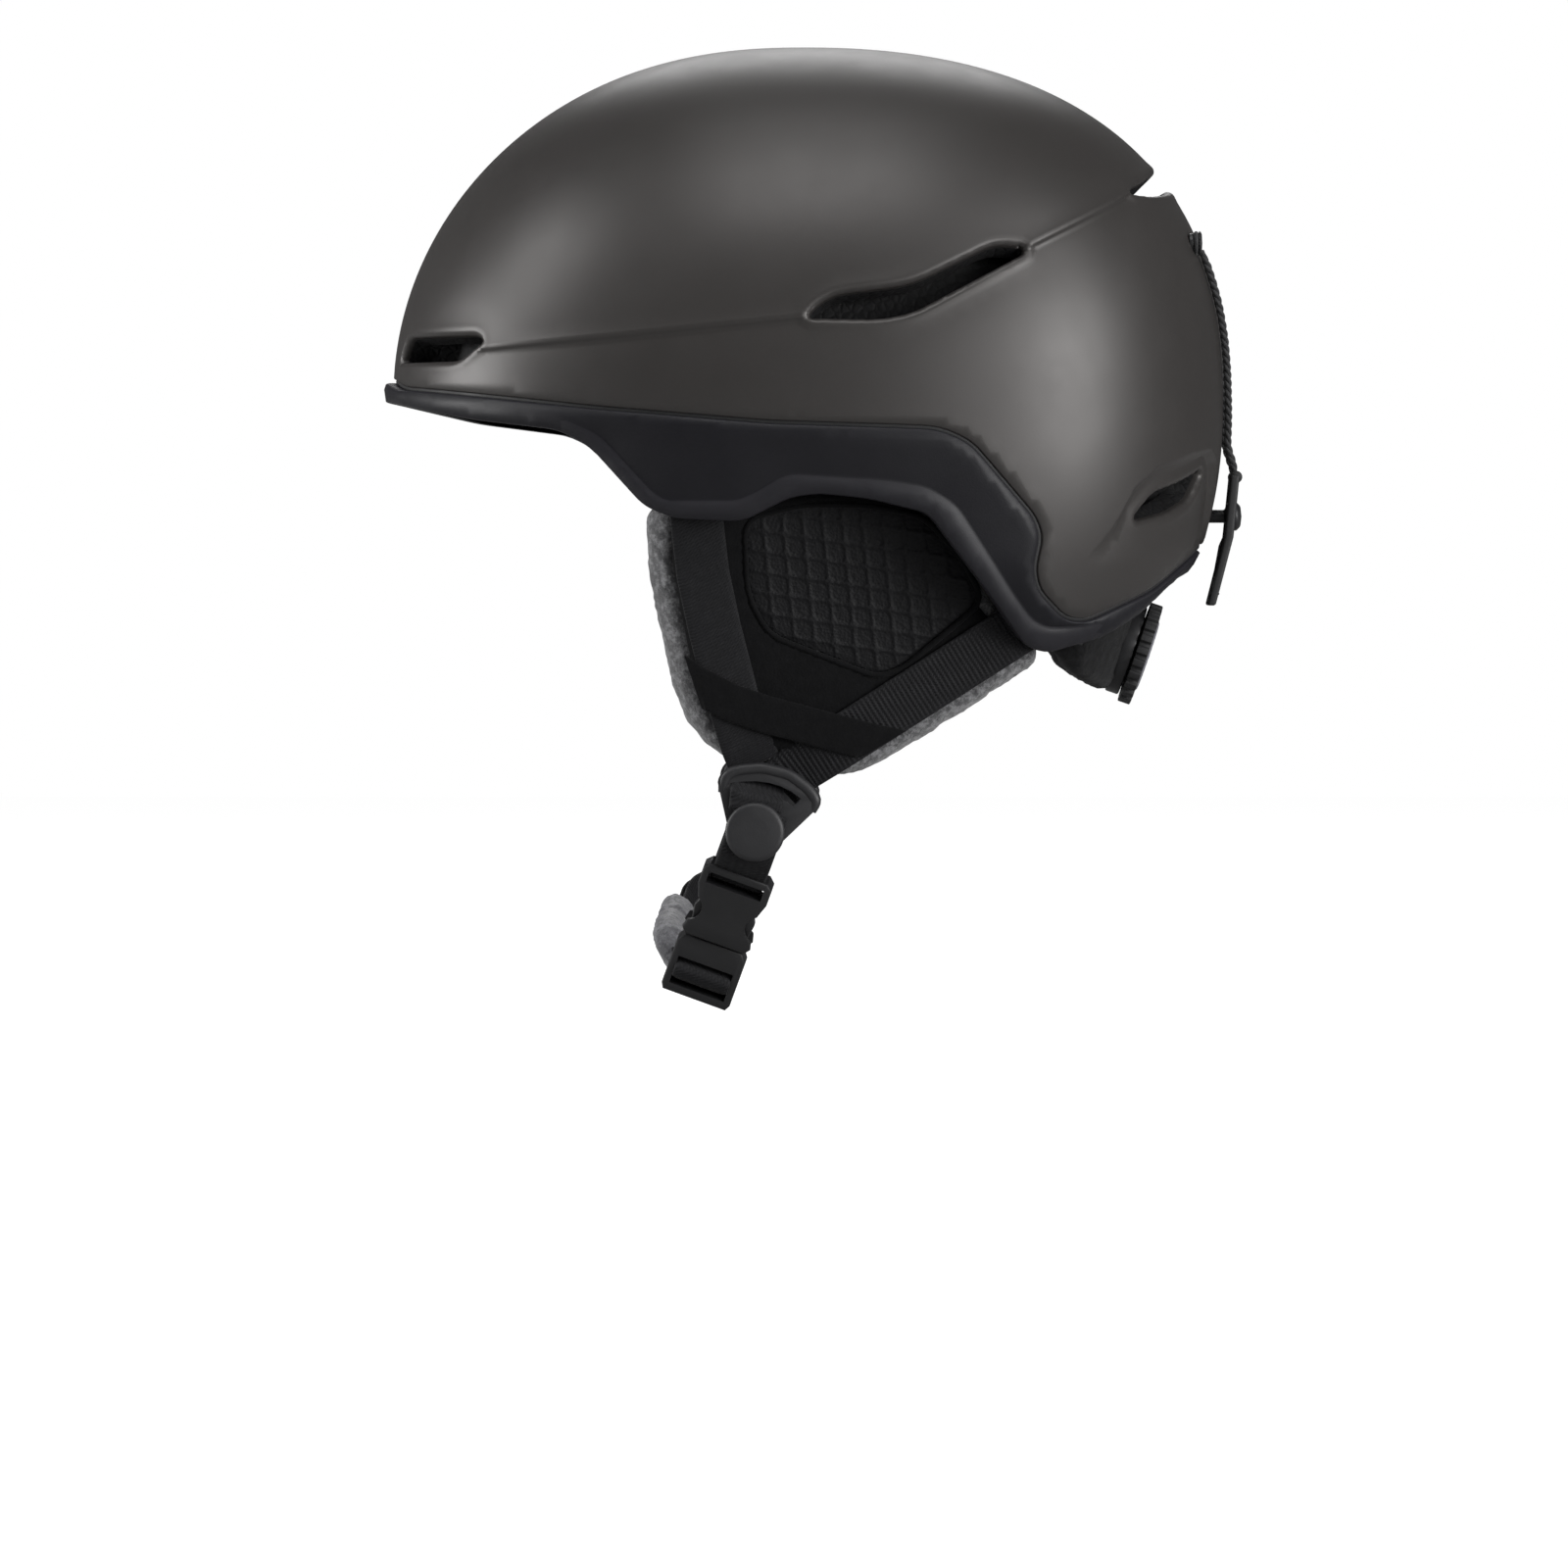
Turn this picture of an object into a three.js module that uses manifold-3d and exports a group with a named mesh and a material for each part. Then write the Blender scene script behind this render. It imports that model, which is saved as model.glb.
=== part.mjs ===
// A ski helmet: hard shell, lower trim, foam liner, comfort padding, ear pads, chin strap with a
// side-release buckle, rear fit dial and goggle-strap retainer.
// Millimetres, +Z up. The wearer faces -Y, and the wearer's left is +X.
import * as THREE from "three";
import { mergeVertices } from "three/addons/utils/BufferGeometryUtils.js";
import Module from "manifold-3d";

const wasm = await Module();
wasm.setup();

// ---- driving dimensions -------------------------------------------------------------------
// The outer form is a rounded egg about a centre over the origin.
const HALF_WIDTH = 115.5;
const FRONT_REACH = 138;
const REAR_REACH = 141;
const CROWN_RISE = 118.5;
const SKIRT_DROP_SIDE = 165;
const SKIRT_DROP_REAR = 112;
const EQUATOR_Z = 40;
const PLAN_POWER = 2.35;
const PROFILE_POWER_FRONT = 2.06;
const PROFILE_POWER_REAR = 2.45;

const SHELL_THICKNESS = 3;
const FIT_GAP = 0.4;
const FOAM_GAP = 1;
const TRIM_PROUD = 0.5;
const TRIM_THICKNESS = 4.5;
const BRIM_PROUD = 2.6;
const FOAM_INNER = 30;
const PADDING_INNER = 37.5;
const GROOVE_HALF = 1;
const FAR = 220;

// Side-view lines, as [y, z] from the front to the back.
const GROOVE_LINE = [
  [-160, 49], [-138.5, 47], [-133.8, 43.4], [-69, 36.3], [-11.9, 31.5], [28, 30.2], [44, 29.6],
  [54.7, 25.1], [75.9, 0.5], [78.3, -6], [76, -17], [77.6, -24], [86.5, -33.2], [93.7, -34],
  [116.1, -24], [132.3, -10.7], [160, 12],
];
const TRIM_LOWER_LINE = [
  [-160, 42.5], [-137.3, 39.5], [-110.6, 33.3], [-80.5, 29.5], [-71.6, 24.4], [-53, 4], [-43, 0],
  [-20.5, -1], [-4.6, 7.1], [5, 8.3], [21.3, 6.6], [41.4, 1.7], [60.4, -22.9], [74.8, -43],
  [82, -45.5], [100.5, -38.5], [113.9, -31.3], [127.3, -20], [160, -12],
];
const FOAM_LOWER_LINE = [
  [-160, 50], [-110, 41], [-80, 37], [-66, 30], [-50, 10], [-40, 7], [-20, 7], [-2, 14],
  [22, 13.5], [44, 8], [64, -18], [76, -32], [88, -28], [100, -15], [125, -4], [160, 4],
];
const SIDE_VENT = [
  [-1.5, 65], [8, 73.5], [35, 77], [62.6, 90.8], [72.5, 90], [73.5, 87], [55.9, 77.5], [36, 66.8],
  [25, 64.6],
];
// Front-view and rear-view slots, as [x, z] on the wearer's left.
const FRONT_VENT = [[30, 51.5], [74, 51.5], [82, 58.5], [79, 61], [37, 61]];
const REAR_LOW_VENT = [
  [47, 5], [61, 0.5], [75, -2], [77, 0], [71, 8.5], [56, 12.5], [41, 16.5], [38.5, 14],
];
const REAR_VENT = [
  [-47, 107.5], [0, 109.4], [47, 107.5], [56, 112.5], [30, 116], [0, 117.2], [-30, 116],
  [-56, 112.5],
];
const VENT_DEPTH = 17;

// The ear pad's own frame: its outward face leans in towards the jaw and towards the back.
const EAR_PLANE_X = 97.6;
const EAR_YAW_SLOPE = 0.123;
const EAR_TILT_SLOPE = 0.14;
const EAR_PAD_DEPTH = [-29, -6.4];
const EAR_COVER_DEPTH = [-6, -3.4];
const WEBBING_DEPTH = [-3.1, -1.5];
const CROSS_BAND_DEPTH = [-1.2, -0.2];
const EAR_PAD_OUTLINE = [
  [-50, 3.5], [-50.5, -12], [-45, -38], [-40, -60], [-33, -74], [-22, -82], [9, -87], [22, -83.5],
  [53, -64.5], [76, -47], [72, -36], [61, -23], [50, -7], [41, 3.5], [22, 9], [-2, 9.5], [-20, 3.5],
];
const EAR_WINDOW_OUTLINE = [
  [-19, -1], [-18, -25.6], [-11, -39], [24.8, -53.5], [33, -51], [60, -29], [52, -14], [40, -1],
  [22, 3], [0, 3.5],
];
const FRONT_WEBBING = { top: [-31, 4], bottom: [-12, -79.5], width: 17.5 };
const REAR_WEBBING = { top: [68.5, -41], bottom: [8, -78.5], width: 17.5 };
const CROSS_BAND = { top: [-39, -49], bottom: [31, -72], width: 11 };

// Chin-strap frame: through both strap rivets, leaning forward.
const RIVET_X = 88;
const RIVET_Y = -16.2;
const RIVET_Z = -103.4;
const STRAP_LEAN = THREE.MathUtils.degToRad(-20);
const STRAP_WIDTH = 18;
const STRAP_THICKNESS = 1.8;
const RIVET_HOLE_RADIUS = 3.2;
const CHIN_TURN = THREE.MathUtils.degToRad(42);
const CHIN_FORWARD = 8;
const SLIDER_INNER_X = 83.4;
const SLIDER_THICKNESS = 3;
const BUCKLE_TOP = [79, -13.5];
const BUCKLE_END = [63.8, -58.5];
const BUCKLE_WIDTH = 24;
const BUCKLE_THICKNESS = 10;
const BUCKLE_WALL = 1.4;

// Fit system: the cradle leans, and its dial faces down and back.
const CRADLE_Y = 107;
const CRADLE_Z = -43;
const CRADLE_LEAN = THREE.MathUtils.degToRad(-19);
const CRADLE_ARC_RADIUS = 122;
const CRADLE_HALF_WIDTH = 64;
const CRADLE_THICKNESS = 3;
const CRADLE_TRAVEL = 5.2;
const DIAL_RADIUS = 17.5;

// Goggle-strap retainer on the back of the shell.
const ANCHOR_X = 32;
const ANCHOR_Z = 92;
const CORD_RADIUS = 1.4;
const CORD_STAND_OFF = 2.2;
const CLIP_HALF_WIDTH = 12;
const CLIP_TOP_Z = 13;
const PEG_Z = 1;

// ---- colours ------------------------------------------------------------------------------
const finish = (color, roughness) =>
  new THREE.MeshStandardMaterial({ color, roughness, metalness: 0 });
const SHELL_PAINT = () => finish(0x3c3a39, 0.45);
const TRIM_PLASTIC = () => finish(0x2a2a2e, 0.6);
const FOAM = () => finish(0x1a1a1a, 0.9);
const BLACK_FLEECE = () => finish(0x141414, 0.95);
const GREY_FLEECE = () => finish(0x5c5c5e, 0.95);
const COVER_FABRIC = () => finish(0x17171a, 0.85);
const WEBBING = () => finish(0x1e1e20, 0.8);
const BLACK_PLASTIC = () => finish(0x18181a, 0.5);
const GREY_PLASTIC = () => finish(0x76757c, 0.5);
const RUBBER = () => finish(0x1b1b1c, 0.7);
const CORD = () => finish(0x101011, 0.8);

// ---- solid helpers ------------------------------------------------------------------------
function toSolid(geometry) {
  geometry.deleteAttribute("normal");
  geometry.deleteAttribute("uv");
  const merged = mergeVertices(geometry, 1e-4);
  return new wasm.Manifold(
    new wasm.Mesh({
      numProp: 3,
      vertProperties: merged.attributes.position.array,
      triVerts: new Uint32Array(merged.index.array),
    }),
  );
}

function toMesh(name, material, solid) {
  const data = solid.getMesh();
  const geometry = new THREE.BufferGeometry();
  geometry.setAttribute("position", new THREE.BufferAttribute(data.vertProperties, data.numProp));
  geometry.setIndex(new THREE.BufferAttribute(data.triVerts, 1));
  geometry.computeVertexNormals();
  const mesh = new THREE.Mesh(geometry, material);
  mesh.name = name;
  return mesh;
}

const shapeOf = (points) => new THREE.Shape(points.map(([u, v]) => new THREE.Vector2(u, v)));

function extruded(shape, from, to, basis, bevel = 0) {
  const geometry = new THREE.ExtrudeGeometry(shape, {
    depth: to - from - 2 * bevel,
    bevelEnabled: bevel > 0,
    bevelThickness: bevel,
    bevelSize: bevel * 0.8,
    bevelOffset: -bevel * 0.8,
    bevelSegments: 2,
    curveSegments: 6,
  });
  geometry.translate(0, 0, from + bevel);
  geometry.applyMatrix4(basis);
  return toSolid(geometry);
}

// Profiles in [y, z] run along X, in [x, z] along Y, and in [x, y] along Z.
const ALONG_X = new THREE.Matrix4().set(0, 0, 1, 0, 1, 0, 0, 0, 0, 1, 0, 0, 0, 0, 0, 1);
const ALONG_Y = new THREE.Matrix4().set(1, 0, 0, 0, 0, 0, -1, 0, 0, 1, 0, 0, 0, 0, 0, 1);
const ALONG_Z = new THREE.Matrix4();
const alongX = (points, from, to, bevel) => extruded(shapeOf(points), from, to, ALONG_X, bevel);
const alongY = (points, from, to) => extruded(shapeOf(points), -to, -from, ALONG_Y);
const alongZ = (points, from, to) => extruded(shapeOf(points), from, to, ALONG_Z);

function block([x0, y0, z0], [x1, y1, z1]) {
  const geometry = new THREE.BoxGeometry(x1 - x0, y1 - y0, z1 - z0);
  geometry.translate((x0 + x1) / 2, (y0 + y1) / 2, (z0 + z1) / 2);
  return toSolid(geometry);
}

// A turned piece: profile points are [radius, along], and it stands along +X.
function turned(profile, sides = 28) {
  const geometry = new THREE.LatheGeometry(
    profile.map(([radius, along]) => new THREE.Vector2(radius, along)),
    sides,
  );
  geometry.rotateZ(-Math.PI / 2);
  return toSolid(geometry);
}

const rod = (radius, from, to, sides) =>
  turned([[0, from], [radius, from], [radius, to], [0, to]], sides);

function moved(solid, x, y, z) {
  return solid.translate([x, y, z]);
}

// ---- the egg-shaped outer form ---------------------------------------------------------------
function formRadius(direction, axes) {
  const rearward = Math.max(0, direction.y);
  const reach = direction.y > 0 ? axes.rear : axes.front;
  const skirt = axes.skirtSide + (axes.skirtRear - axes.skirtSide) * rearward * rearward;
  const rise = direction.z > 0 ? axes.crown : skirt;
  const blend = (1 + direction.y) / 2;
  const power = PROFILE_POWER_FRONT + (PROFILE_POWER_REAR - PROFILE_POWER_FRONT) * blend;
  const plan =
    Math.abs(direction.x / axes.half) ** PLAN_POWER + Math.abs(direction.y / reach) ** PLAN_POWER;
  const sum = plan ** (power / PLAN_POWER) + Math.abs(direction.z / rise) ** power;
  return sum ** (-1 / power);
}

const formAxes = (inset, brim = 0) => ({
  half: HALF_WIDTH - inset,
  front: FRONT_REACH - inset + brim,
  rear: REAR_REACH - inset,
  crown: CROWN_RISE - inset,
  skirtSide: SKIRT_DROP_SIDE - inset,
  skirtRear: SKIRT_DROP_REAR - inset,
});

function dome(inset, columns, rows, brim = 0) {
  const axes = formAxes(inset, brim);
  const geometry = new THREE.SphereGeometry(1, columns, rows);
  geometry.rotateX(Math.PI / 2);
  const position = geometry.attributes.position;
  const point = new THREE.Vector3();
  for (let i = 0; i < position.count; i += 1) {
    point.fromBufferAttribute(position, i).normalize();
    point.multiplyScalar(formRadius(point, axes));
    position.setXYZ(i, point.x, point.y, point.z + EQUATOR_Z);
  }
  return toSolid(geometry);
}

// The y of the back of the form, set off by a distance, at a given x and z.
function rearSurfaceY(x, z, standOff) {
  const axes = formAxes(-standOff);
  let low = 0;
  let high = 2 * REAR_REACH;
  for (let i = 0; i < 40; i += 1) {
    const middle = (low + high) / 2;
    const point = new THREE.Vector3(x, middle, z - EQUATOR_Z);
    const length = point.length();
    if (length < formRadius(point.normalize(), axes)) low = middle;
    else high = middle;
  }
  return low;
}

// A line of points moved sideways, to the left of its run; a closed outline joins end to start.
function offsetLine(points, distance, closed = false) {
  const count = points.length;
  const at = (i) => (closed ? points[(i + count) % count] : points[Math.min(Math.max(i, 0), count - 1)]);
  return points.map(([u, v], i) => {
    const before = new THREE.Vector2(u - at(i - 1)[0], v - at(i - 1)[1]).normalize();
    const after = new THREE.Vector2(at(i + 1)[0] - u, at(i + 1)[1] - v).normalize();
    const run = before.clone().add(after).normalize();
    const turn = Math.max(before.length() && after.length() ? before.dot(run) : 1, 0.5);
    return [u - (run.y * distance) / turn, v + (run.x * distance) / turn];
  });
}

const above = (line) => alongX([...line, [FAR, FAR], [-FAR, FAR]], -FAR, FAR);
const between = (lower, upper) => alongX([...lower, ...[...upper].reverse()], -FAR, FAR);
const mirrored = (points) => points.map(([u, v]) => [-u, v]).reverse();

// ---- shell, trim and foam ------------------------------------------------------------------------
// Prisms through the vents: along X at the sides, along Y at the front and the back.
function ventCutters() {
  let cutters = alongX(SIDE_VENT, -FAR, FAR).add(alongY(REAR_VENT, 0, FAR));
  for (const outline of [FRONT_VENT, mirrored(FRONT_VENT)])
    cutters = cutters.add(alongY(outline, -FAR, 0));
  for (const outline of [REAR_LOW_VENT, mirrored(REAR_LOW_VENT)])
    cutters = cutters.add(alongY(outline, 0, FAR));
  return cutters;
}

function outerShell() {
  const skin = dome(0, 56, 36).subtract(dome(SHELL_THICKNESS, 44, 24));
  const trimmed = skin.intersect(above(offsetLine(GROOVE_LINE, GROOVE_HALF)));
  return trimmed.subtract(ventCutters()).subtract(pegHole());
}

function pegHole() {
  return turnedAlongY([[0, 100], [2.6, 100], [2.6, 160], [0, 160]], 12).translate([0, 0, PEG_Z]);
}

function turnedAlongY(profile, sides) {
  const geometry = new THREE.LatheGeometry(
    profile.map(([radius, along]) => new THREE.Vector2(radius, along)),
    sides,
  );
  return toSolid(geometry);
}

function lowerTrim() {
  const outside = dome(-TRIM_PROUD, 44, 28, BRIM_PROUD);
  const band = outside.subtract(dome(TRIM_THICKNESS, 36, 24));
  return band.intersect(between(TRIM_LOWER_LINE, offsetLine(GROOVE_LINE, -GROOVE_HALF)));
}

function foamLiner() {
  const upper = dome(SHELL_THICKNESS + FOAM_GAP, 36, 20).intersect(above(GROOVE_LINE));
  const body = upper.add(dome(TRIM_THICKNESS + FOAM_GAP, 36, 20));
  const ventPockets = ventCutters().subtract(dome(VENT_DEPTH, 36, 20));
  const stemChannel = block([-13, 88, -60], [13, 118, 26]);
  return body
    .subtract(dome(FOAM_INNER, 30, 18))
    .intersect(above(FOAM_LOWER_LINE))
    .subtract(ventPockets)
    .subtract(pegHole())
    .subtract(stemChannel)
    .subtract(cradleRunway());
}

// ---- comfort padding ---------------------------------------------------------------------------
const paddingSheet = () =>
  dome(FOAM_INNER + FIT_GAP, 30, 18).subtract(dome(PADDING_INNER, 28, 16));

function comfortPads(group) {
  const sheet = paddingSheet();
  const add = (name, region) =>
    group.add(toMesh(name, BLACK_FLEECE(), sheet.intersect(region)));
  add("brow_pad", block([-66, -FAR, 42], [66, -50, 70]));
  add("crown_pad", block([-42, -62, 90], [42, 62, FAR]));
  add("side_pad_left", block([40, -44, 17], [FAR, 46, 64]));
  add("side_pad_right", block([-FAR, -44, 17], [-40, 46, 64]));
  add("rear_pad_left", block([15, 55, -12], [62, FAR, 52]));
  add("rear_pad_right", block([-62, 55, -12], [-15, FAR, 52]));
}

// ---- ear pads and their webbing ----------------------------------------------------------------
function earFrame() {
  const outward = new THREE.Vector3(1, EAR_YAW_SLOPE, -EAR_TILT_SLOPE).normalize();
  const upward = new THREE.Vector3(EAR_TILT_SLOPE, 0, 1).normalize();
  const rearward = new THREE.Vector3().crossVectors(upward, outward);
  const frame = new THREE.Group();
  frame.matrixAutoUpdate = false;
  frame.matrix.makeBasis(outward, rearward, upward).setPosition(EAR_PLANE_X, 0, 0);
  return frame;
}

// A flat band between two [y, z] points.
function bandOutline({ top, bottom, width }) {
  const run = new THREE.Vector2(bottom[0] - top[0], bottom[1] - top[1]).normalize();
  const across = new THREE.Vector2(-run.y, run.x).multiplyScalar(width / 2);
  return [
    [top[0] - across.x, top[1] - across.y],
    [bottom[0] - across.x, bottom[1] - across.y],
    [bottom[0] + across.x, bottom[1] + across.y],
    [top[0] + across.x, top[1] + across.y],
  ];
}

function earAssembly(side) {
  const frame = earFrame();
  const add = (name, material, solid) => frame.add(toMesh(`${name}_${side}`, material, solid));
  const windowOpening = alongX(EAR_WINDOW_OUTLINE, -20, 20);
  const insertOutline = offsetLine(EAR_WINDOW_OUTLINE, FIT_GAP, true);
  const coverOutline = offsetLine(EAR_PAD_OUTLINE, 3, true);
  add("ear_pad", GREY_FLEECE(), alongX(EAR_PAD_OUTLINE, ...EAR_PAD_DEPTH, 6));
  const cover = alongX(coverOutline, ...EAR_COVER_DEPTH);
  add("ear_cover", COVER_FABRIC(), cover.subtract(windowOpening));
  add("ear_mesh", COVER_FABRIC(), alongX(insertOutline, EAR_COVER_DEPTH[0], EAR_COVER_DEPTH[1] - 0.8));
  const front = alongX(bandOutline(FRONT_WEBBING), ...WEBBING_DEPTH);
  const rear = alongX(bandOutline(REAR_WEBBING), ...WEBBING_DEPTH);
  const frontClearance = alongX(bandOutline({ ...FRONT_WEBBING, width: 18.5 }), -10, 10);
  add("front_webbing", WEBBING(), front);
  add("rear_webbing", WEBBING(), rear.subtract(frontClearance));
  add("cross_band", COVER_FABRIC(), alongX(bandOutline(CROSS_BAND), ...CROSS_BAND_DEPTH));
  add("front_rivet", BLACK_PLASTIC(), moved(rod(2.2, -1.2, 0.6, 14), 0, -31, 3));
  add("rear_rivet", BLACK_PLASTIC(), moved(rod(2.2, -1.2, 0.6, 14), 0, 65.5, -40));
  return frame;
}

function sliderOutline() {
  const outline = new THREE.Shape();
  outline.moveTo(-28.5, -87);
  outline.quadraticCurveTo(-28, -83, -23, -82.2);
  outline.quadraticCurveTo(-8, -80, 2, -89);
  outline.quadraticCurveTo(6.5, -93, 3, -97);
  outline.lineTo(-8, -107.5);
  outline.quadraticCurveTo(-12, -110.5, -17, -109.5);
  outline.lineTo(-20, -108.6);
  outline.quadraticCurveTo(-24, -107, -25.6, -100);
  return outline;
}

function sliderSlot() {
  const slot = new THREE.Shape();
  slot.moveTo(-25, -87.5);
  slot.quadraticCurveTo(-10, -84.5, -1, -92.5);
  slot.lineTo(-3.5, -95);
  slot.quadraticCurveTo(-11, -89, -24.4, -91.5);
  return slot;
}

function strapFittings(side) {
  const frame = new THREE.Group();
  const outerX = SLIDER_INNER_X + SLIDER_THICKNESS;
  const plate = extruded(sliderOutline(), SLIDER_INNER_X, outerX, ALONG_X);
  const slot = extruded(sliderSlot(), SLIDER_INNER_X - 1, outerX + 1, ALONG_X);
  const hole = moved(rod(RIVET_HOLE_RADIUS, 60, 110, 16), 0, RIVET_Y, RIVET_Z);
  const slider = plate.subtract(slot).subtract(hole);
  frame.add(toMesh(`strap_slider_${side}`, BLACK_PLASTIC(), slider));
  const face = RIVET_X + STRAP_THICKNESS / 2 + 0.35;
  const cap = turned([
    [0, SLIDER_INNER_X - 2.6], [5, SLIDER_INNER_X - 2.6], [5, SLIDER_INNER_X - 0.4],
    [2.6, SLIDER_INNER_X - 0.4], [2.6, face], [9.6, face], [9.8, face + 1.6], [8.6, face + 2.6],
    [0, face + 3],
  ]);
  frame.add(toMesh(`strap_snap_${side}`, BLACK_PLASTIC(), moved(cap, 0, RIVET_Y, RIVET_Z)));
  return frame;
}

// ---- chin strap and buckle -----------------------------------------------------------------------
function chinFrame() {
  const frame = new THREE.Group();
  frame.position.set(0, RIVET_Y, RIVET_Z);
  frame.rotation.x = STRAP_LEAN;
  return frame;
}

// A strap of even thickness along a smooth line of [x, h] points, as a closed outline.
function strapOutline(points, thickness, steps) {
  const curve = new THREE.CatmullRomCurve3(points.map(([x, h]) => new THREE.Vector3(x, h, 0)));
  const left = [];
  const right = [];
  for (let i = 0; i <= steps; i += 1) {
    const at = curve.getPointAt(i / steps);
    const run = curve.getTangentAt(i / steps);
    left.push([at.x - (run.y * thickness) / 2, at.y + (run.x * thickness) / 2]);
    right.push([at.x + (run.y * thickness) / 2, at.y - (run.x * thickness) / 2]);
  }
  return [...left, ...right.reverse()];
}

function strapSolid(points, thickness, width, steps) {
  return alongY(strapOutline(points, thickness, steps), -width / 2, width / 2);
}

const smoothStep = (value, from, to) => THREE.MathUtils.smoothstep((value - from) / (to - from), 0, 1);

// Under the chin the strap hangs a little forwards and turns its outer face to the front.
function hungForwards(solid) {
  const line = new THREE.SplineCurve(CHIN_STRAP_LINE.map(([x, h]) => new THREE.Vector2(x, h)));
  const heights = line.getPoints(200).map((at) => [at.x, at.y]);
  return solid.refineToLength(6).warp((vertex) => {
    const [x, w, h] = vertex;
    const share = smoothStep(x, -84, -60) * (1 - smoothStep(x, 24, 50));
    const next = Math.max(1, heights.findIndex(([at]) => at > x));
    const [before, after] = [heights[next - 1], heights[next]];
    const middle = THREE.MathUtils.mapLinear(x, before[0], after[0], before[1], after[1]);
    const turn = -CHIN_TURN * share;
    vertex[1] = w * Math.cos(turn) - (h - middle) * Math.sin(turn) - CHIN_FORWARD * share;
    vertex[2] = middle + w * Math.sin(turn) + (h - middle) * Math.cos(turn);
  });
}

const rivetHole = (sign) => moved(rod(RIVET_HOLE_RADIUS, -20, 20, 16), sign * RIVET_X, 0, 0);

// The buckle's own frame: x is its thickness, y its width, and z runs up its axis from the end.
function buckleFrame() {
  const up = new THREE.Vector3(
    BUCKLE_TOP[0] - BUCKLE_END[0],
    0,
    BUCKLE_TOP[1] - BUCKLE_END[1],
  ).normalize();
  const across = new THREE.Vector3(0, 1, 0);
  const normal = new THREE.Vector3().crossVectors(across, up);
  const frame = new THREE.Group();
  frame.matrixAutoUpdate = false;
  frame.matrix.makeBasis(normal, across, up).setPosition(BUCKLE_END[0], 0, BUCKLE_END[1]);
  return frame;
}

const BUCKLE_LENGTH = Math.hypot(BUCKLE_TOP[0] - BUCKLE_END[0], BUCKLE_TOP[1] - BUCKLE_END[1]);
const FEMALE_FROM = 21.5;
const FEMALE_MOUTH_TOP = 38;
const MALE_TOP = 21.1;

function buckleFemale() {
  const half = BUCKLE_WIDTH / 2;
  const deep = BUCKLE_THICKNESS / 2;
  const body = alongX(
    [
      [-half, FEMALE_FROM + 2], [-half + 1.5, FEMALE_FROM], [half - 1.5, FEMALE_FROM],
      [half, FEMALE_FROM + 2], [half - 1.5, FEMALE_FROM + 8], [half - 1.5, FEMALE_FROM + 14],
      [half, FEMALE_MOUTH_TOP + 2], [half, BUCKLE_LENGTH - 2], [half - 2, BUCKLE_LENGTH],
      [-half + 2, BUCKLE_LENGTH], [-half, BUCKLE_LENGTH - 2], [-half, FEMALE_MOUTH_TOP + 2],
      [-half + 1.5, FEMALE_FROM + 14], [-half + 1.5, FEMALE_FROM + 8],
    ],
    -deep,
    deep,
    1,
  );
  const mouth = block(
    [-deep + BUCKLE_WALL, -FAR, FEMALE_FROM - 5],
    [deep - BUCKLE_WALL, FAR, FEMALE_MOUTH_TOP],
  );
  const barSlot = block([-10, -9.6, BUCKLE_LENGTH - 6.5], [10, 9.6, BUCKLE_LENGTH - 2.6]);
  const scallop = rod(4.7, -10, 10, 24);
  const scallops = [-1, 1].map((sign) => moved(scallop, 0, sign * (half + 0.4), FEMALE_FROM + 9.5));
  return scallops.reduce((left, cut) => left.subtract(cut), body.subtract(mouth).subtract(barSlot));
}

function buckleMale() {
  const half = BUCKLE_WIDTH / 2;
  const base = alongX(
    [
      [-half + 1, 0], [half - 1, 0], [half, 2], [half, MALE_TOP - 3], [half - 2, MALE_TOP],
      [-half + 2, MALE_TOP], [-half, MALE_TOP - 3], [-half, 2],
    ],
    -4,
    4,
    1,
  );
  const strapWindow = block([-10, -9.6, 3], [10, 9.6, 7]);
  const upperWindow = block([-10, -9.6, 9.5], [10, 9.6, 13]);
  const guide = block([-1.2, -2.2, MALE_TOP - 2], [1.2, 2.2, MALE_TOP + 13]);
  return base.subtract(strapWindow).subtract(upperWindow).add(guide);
}

function buckleProng(sign) {
  const inner = 6;
  const outline = [
    [inner, MALE_TOP + 0.4], [inner + 3.4, MALE_TOP + 0.4], [inner + 4, MALE_TOP + 6],
    [inner + 4.6, MALE_TOP + 10], [inner + 2.2, MALE_TOP + 15.5], [inner, MALE_TOP + 15.5],
  ];
  const points = sign > 0 ? outline : mirrored(outline);
  return alongX(points, -1.7, 1.7);
}

const CHIN_STRAP_LINE = [
  [-86.6, -13.1], [-83.4, -17.2], [-76, -23.6], [-60, -34.6], [-46, -41.8], [-34, -45.6], [-20, -47.8],
  [0, -48.8], [20, -49], [36, -50.2], [49, -53.6], [57.2, -57],
];
const SNAP_STRAP_LINE = [[-88, 7], [-88, -5], [-87.7, -8.4], [-87, -11.8]];
const CHIN_PAD_LINE = [[-46, -41.8], [-34, -45.6], [-20, -47.8], [0, -48.8], [20, -49], [36, -50.2]];
const LOOP_STRAP_LINE = [[88, 7], [88, -7], [86.9, -10.6], [83.4, -13]];

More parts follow.
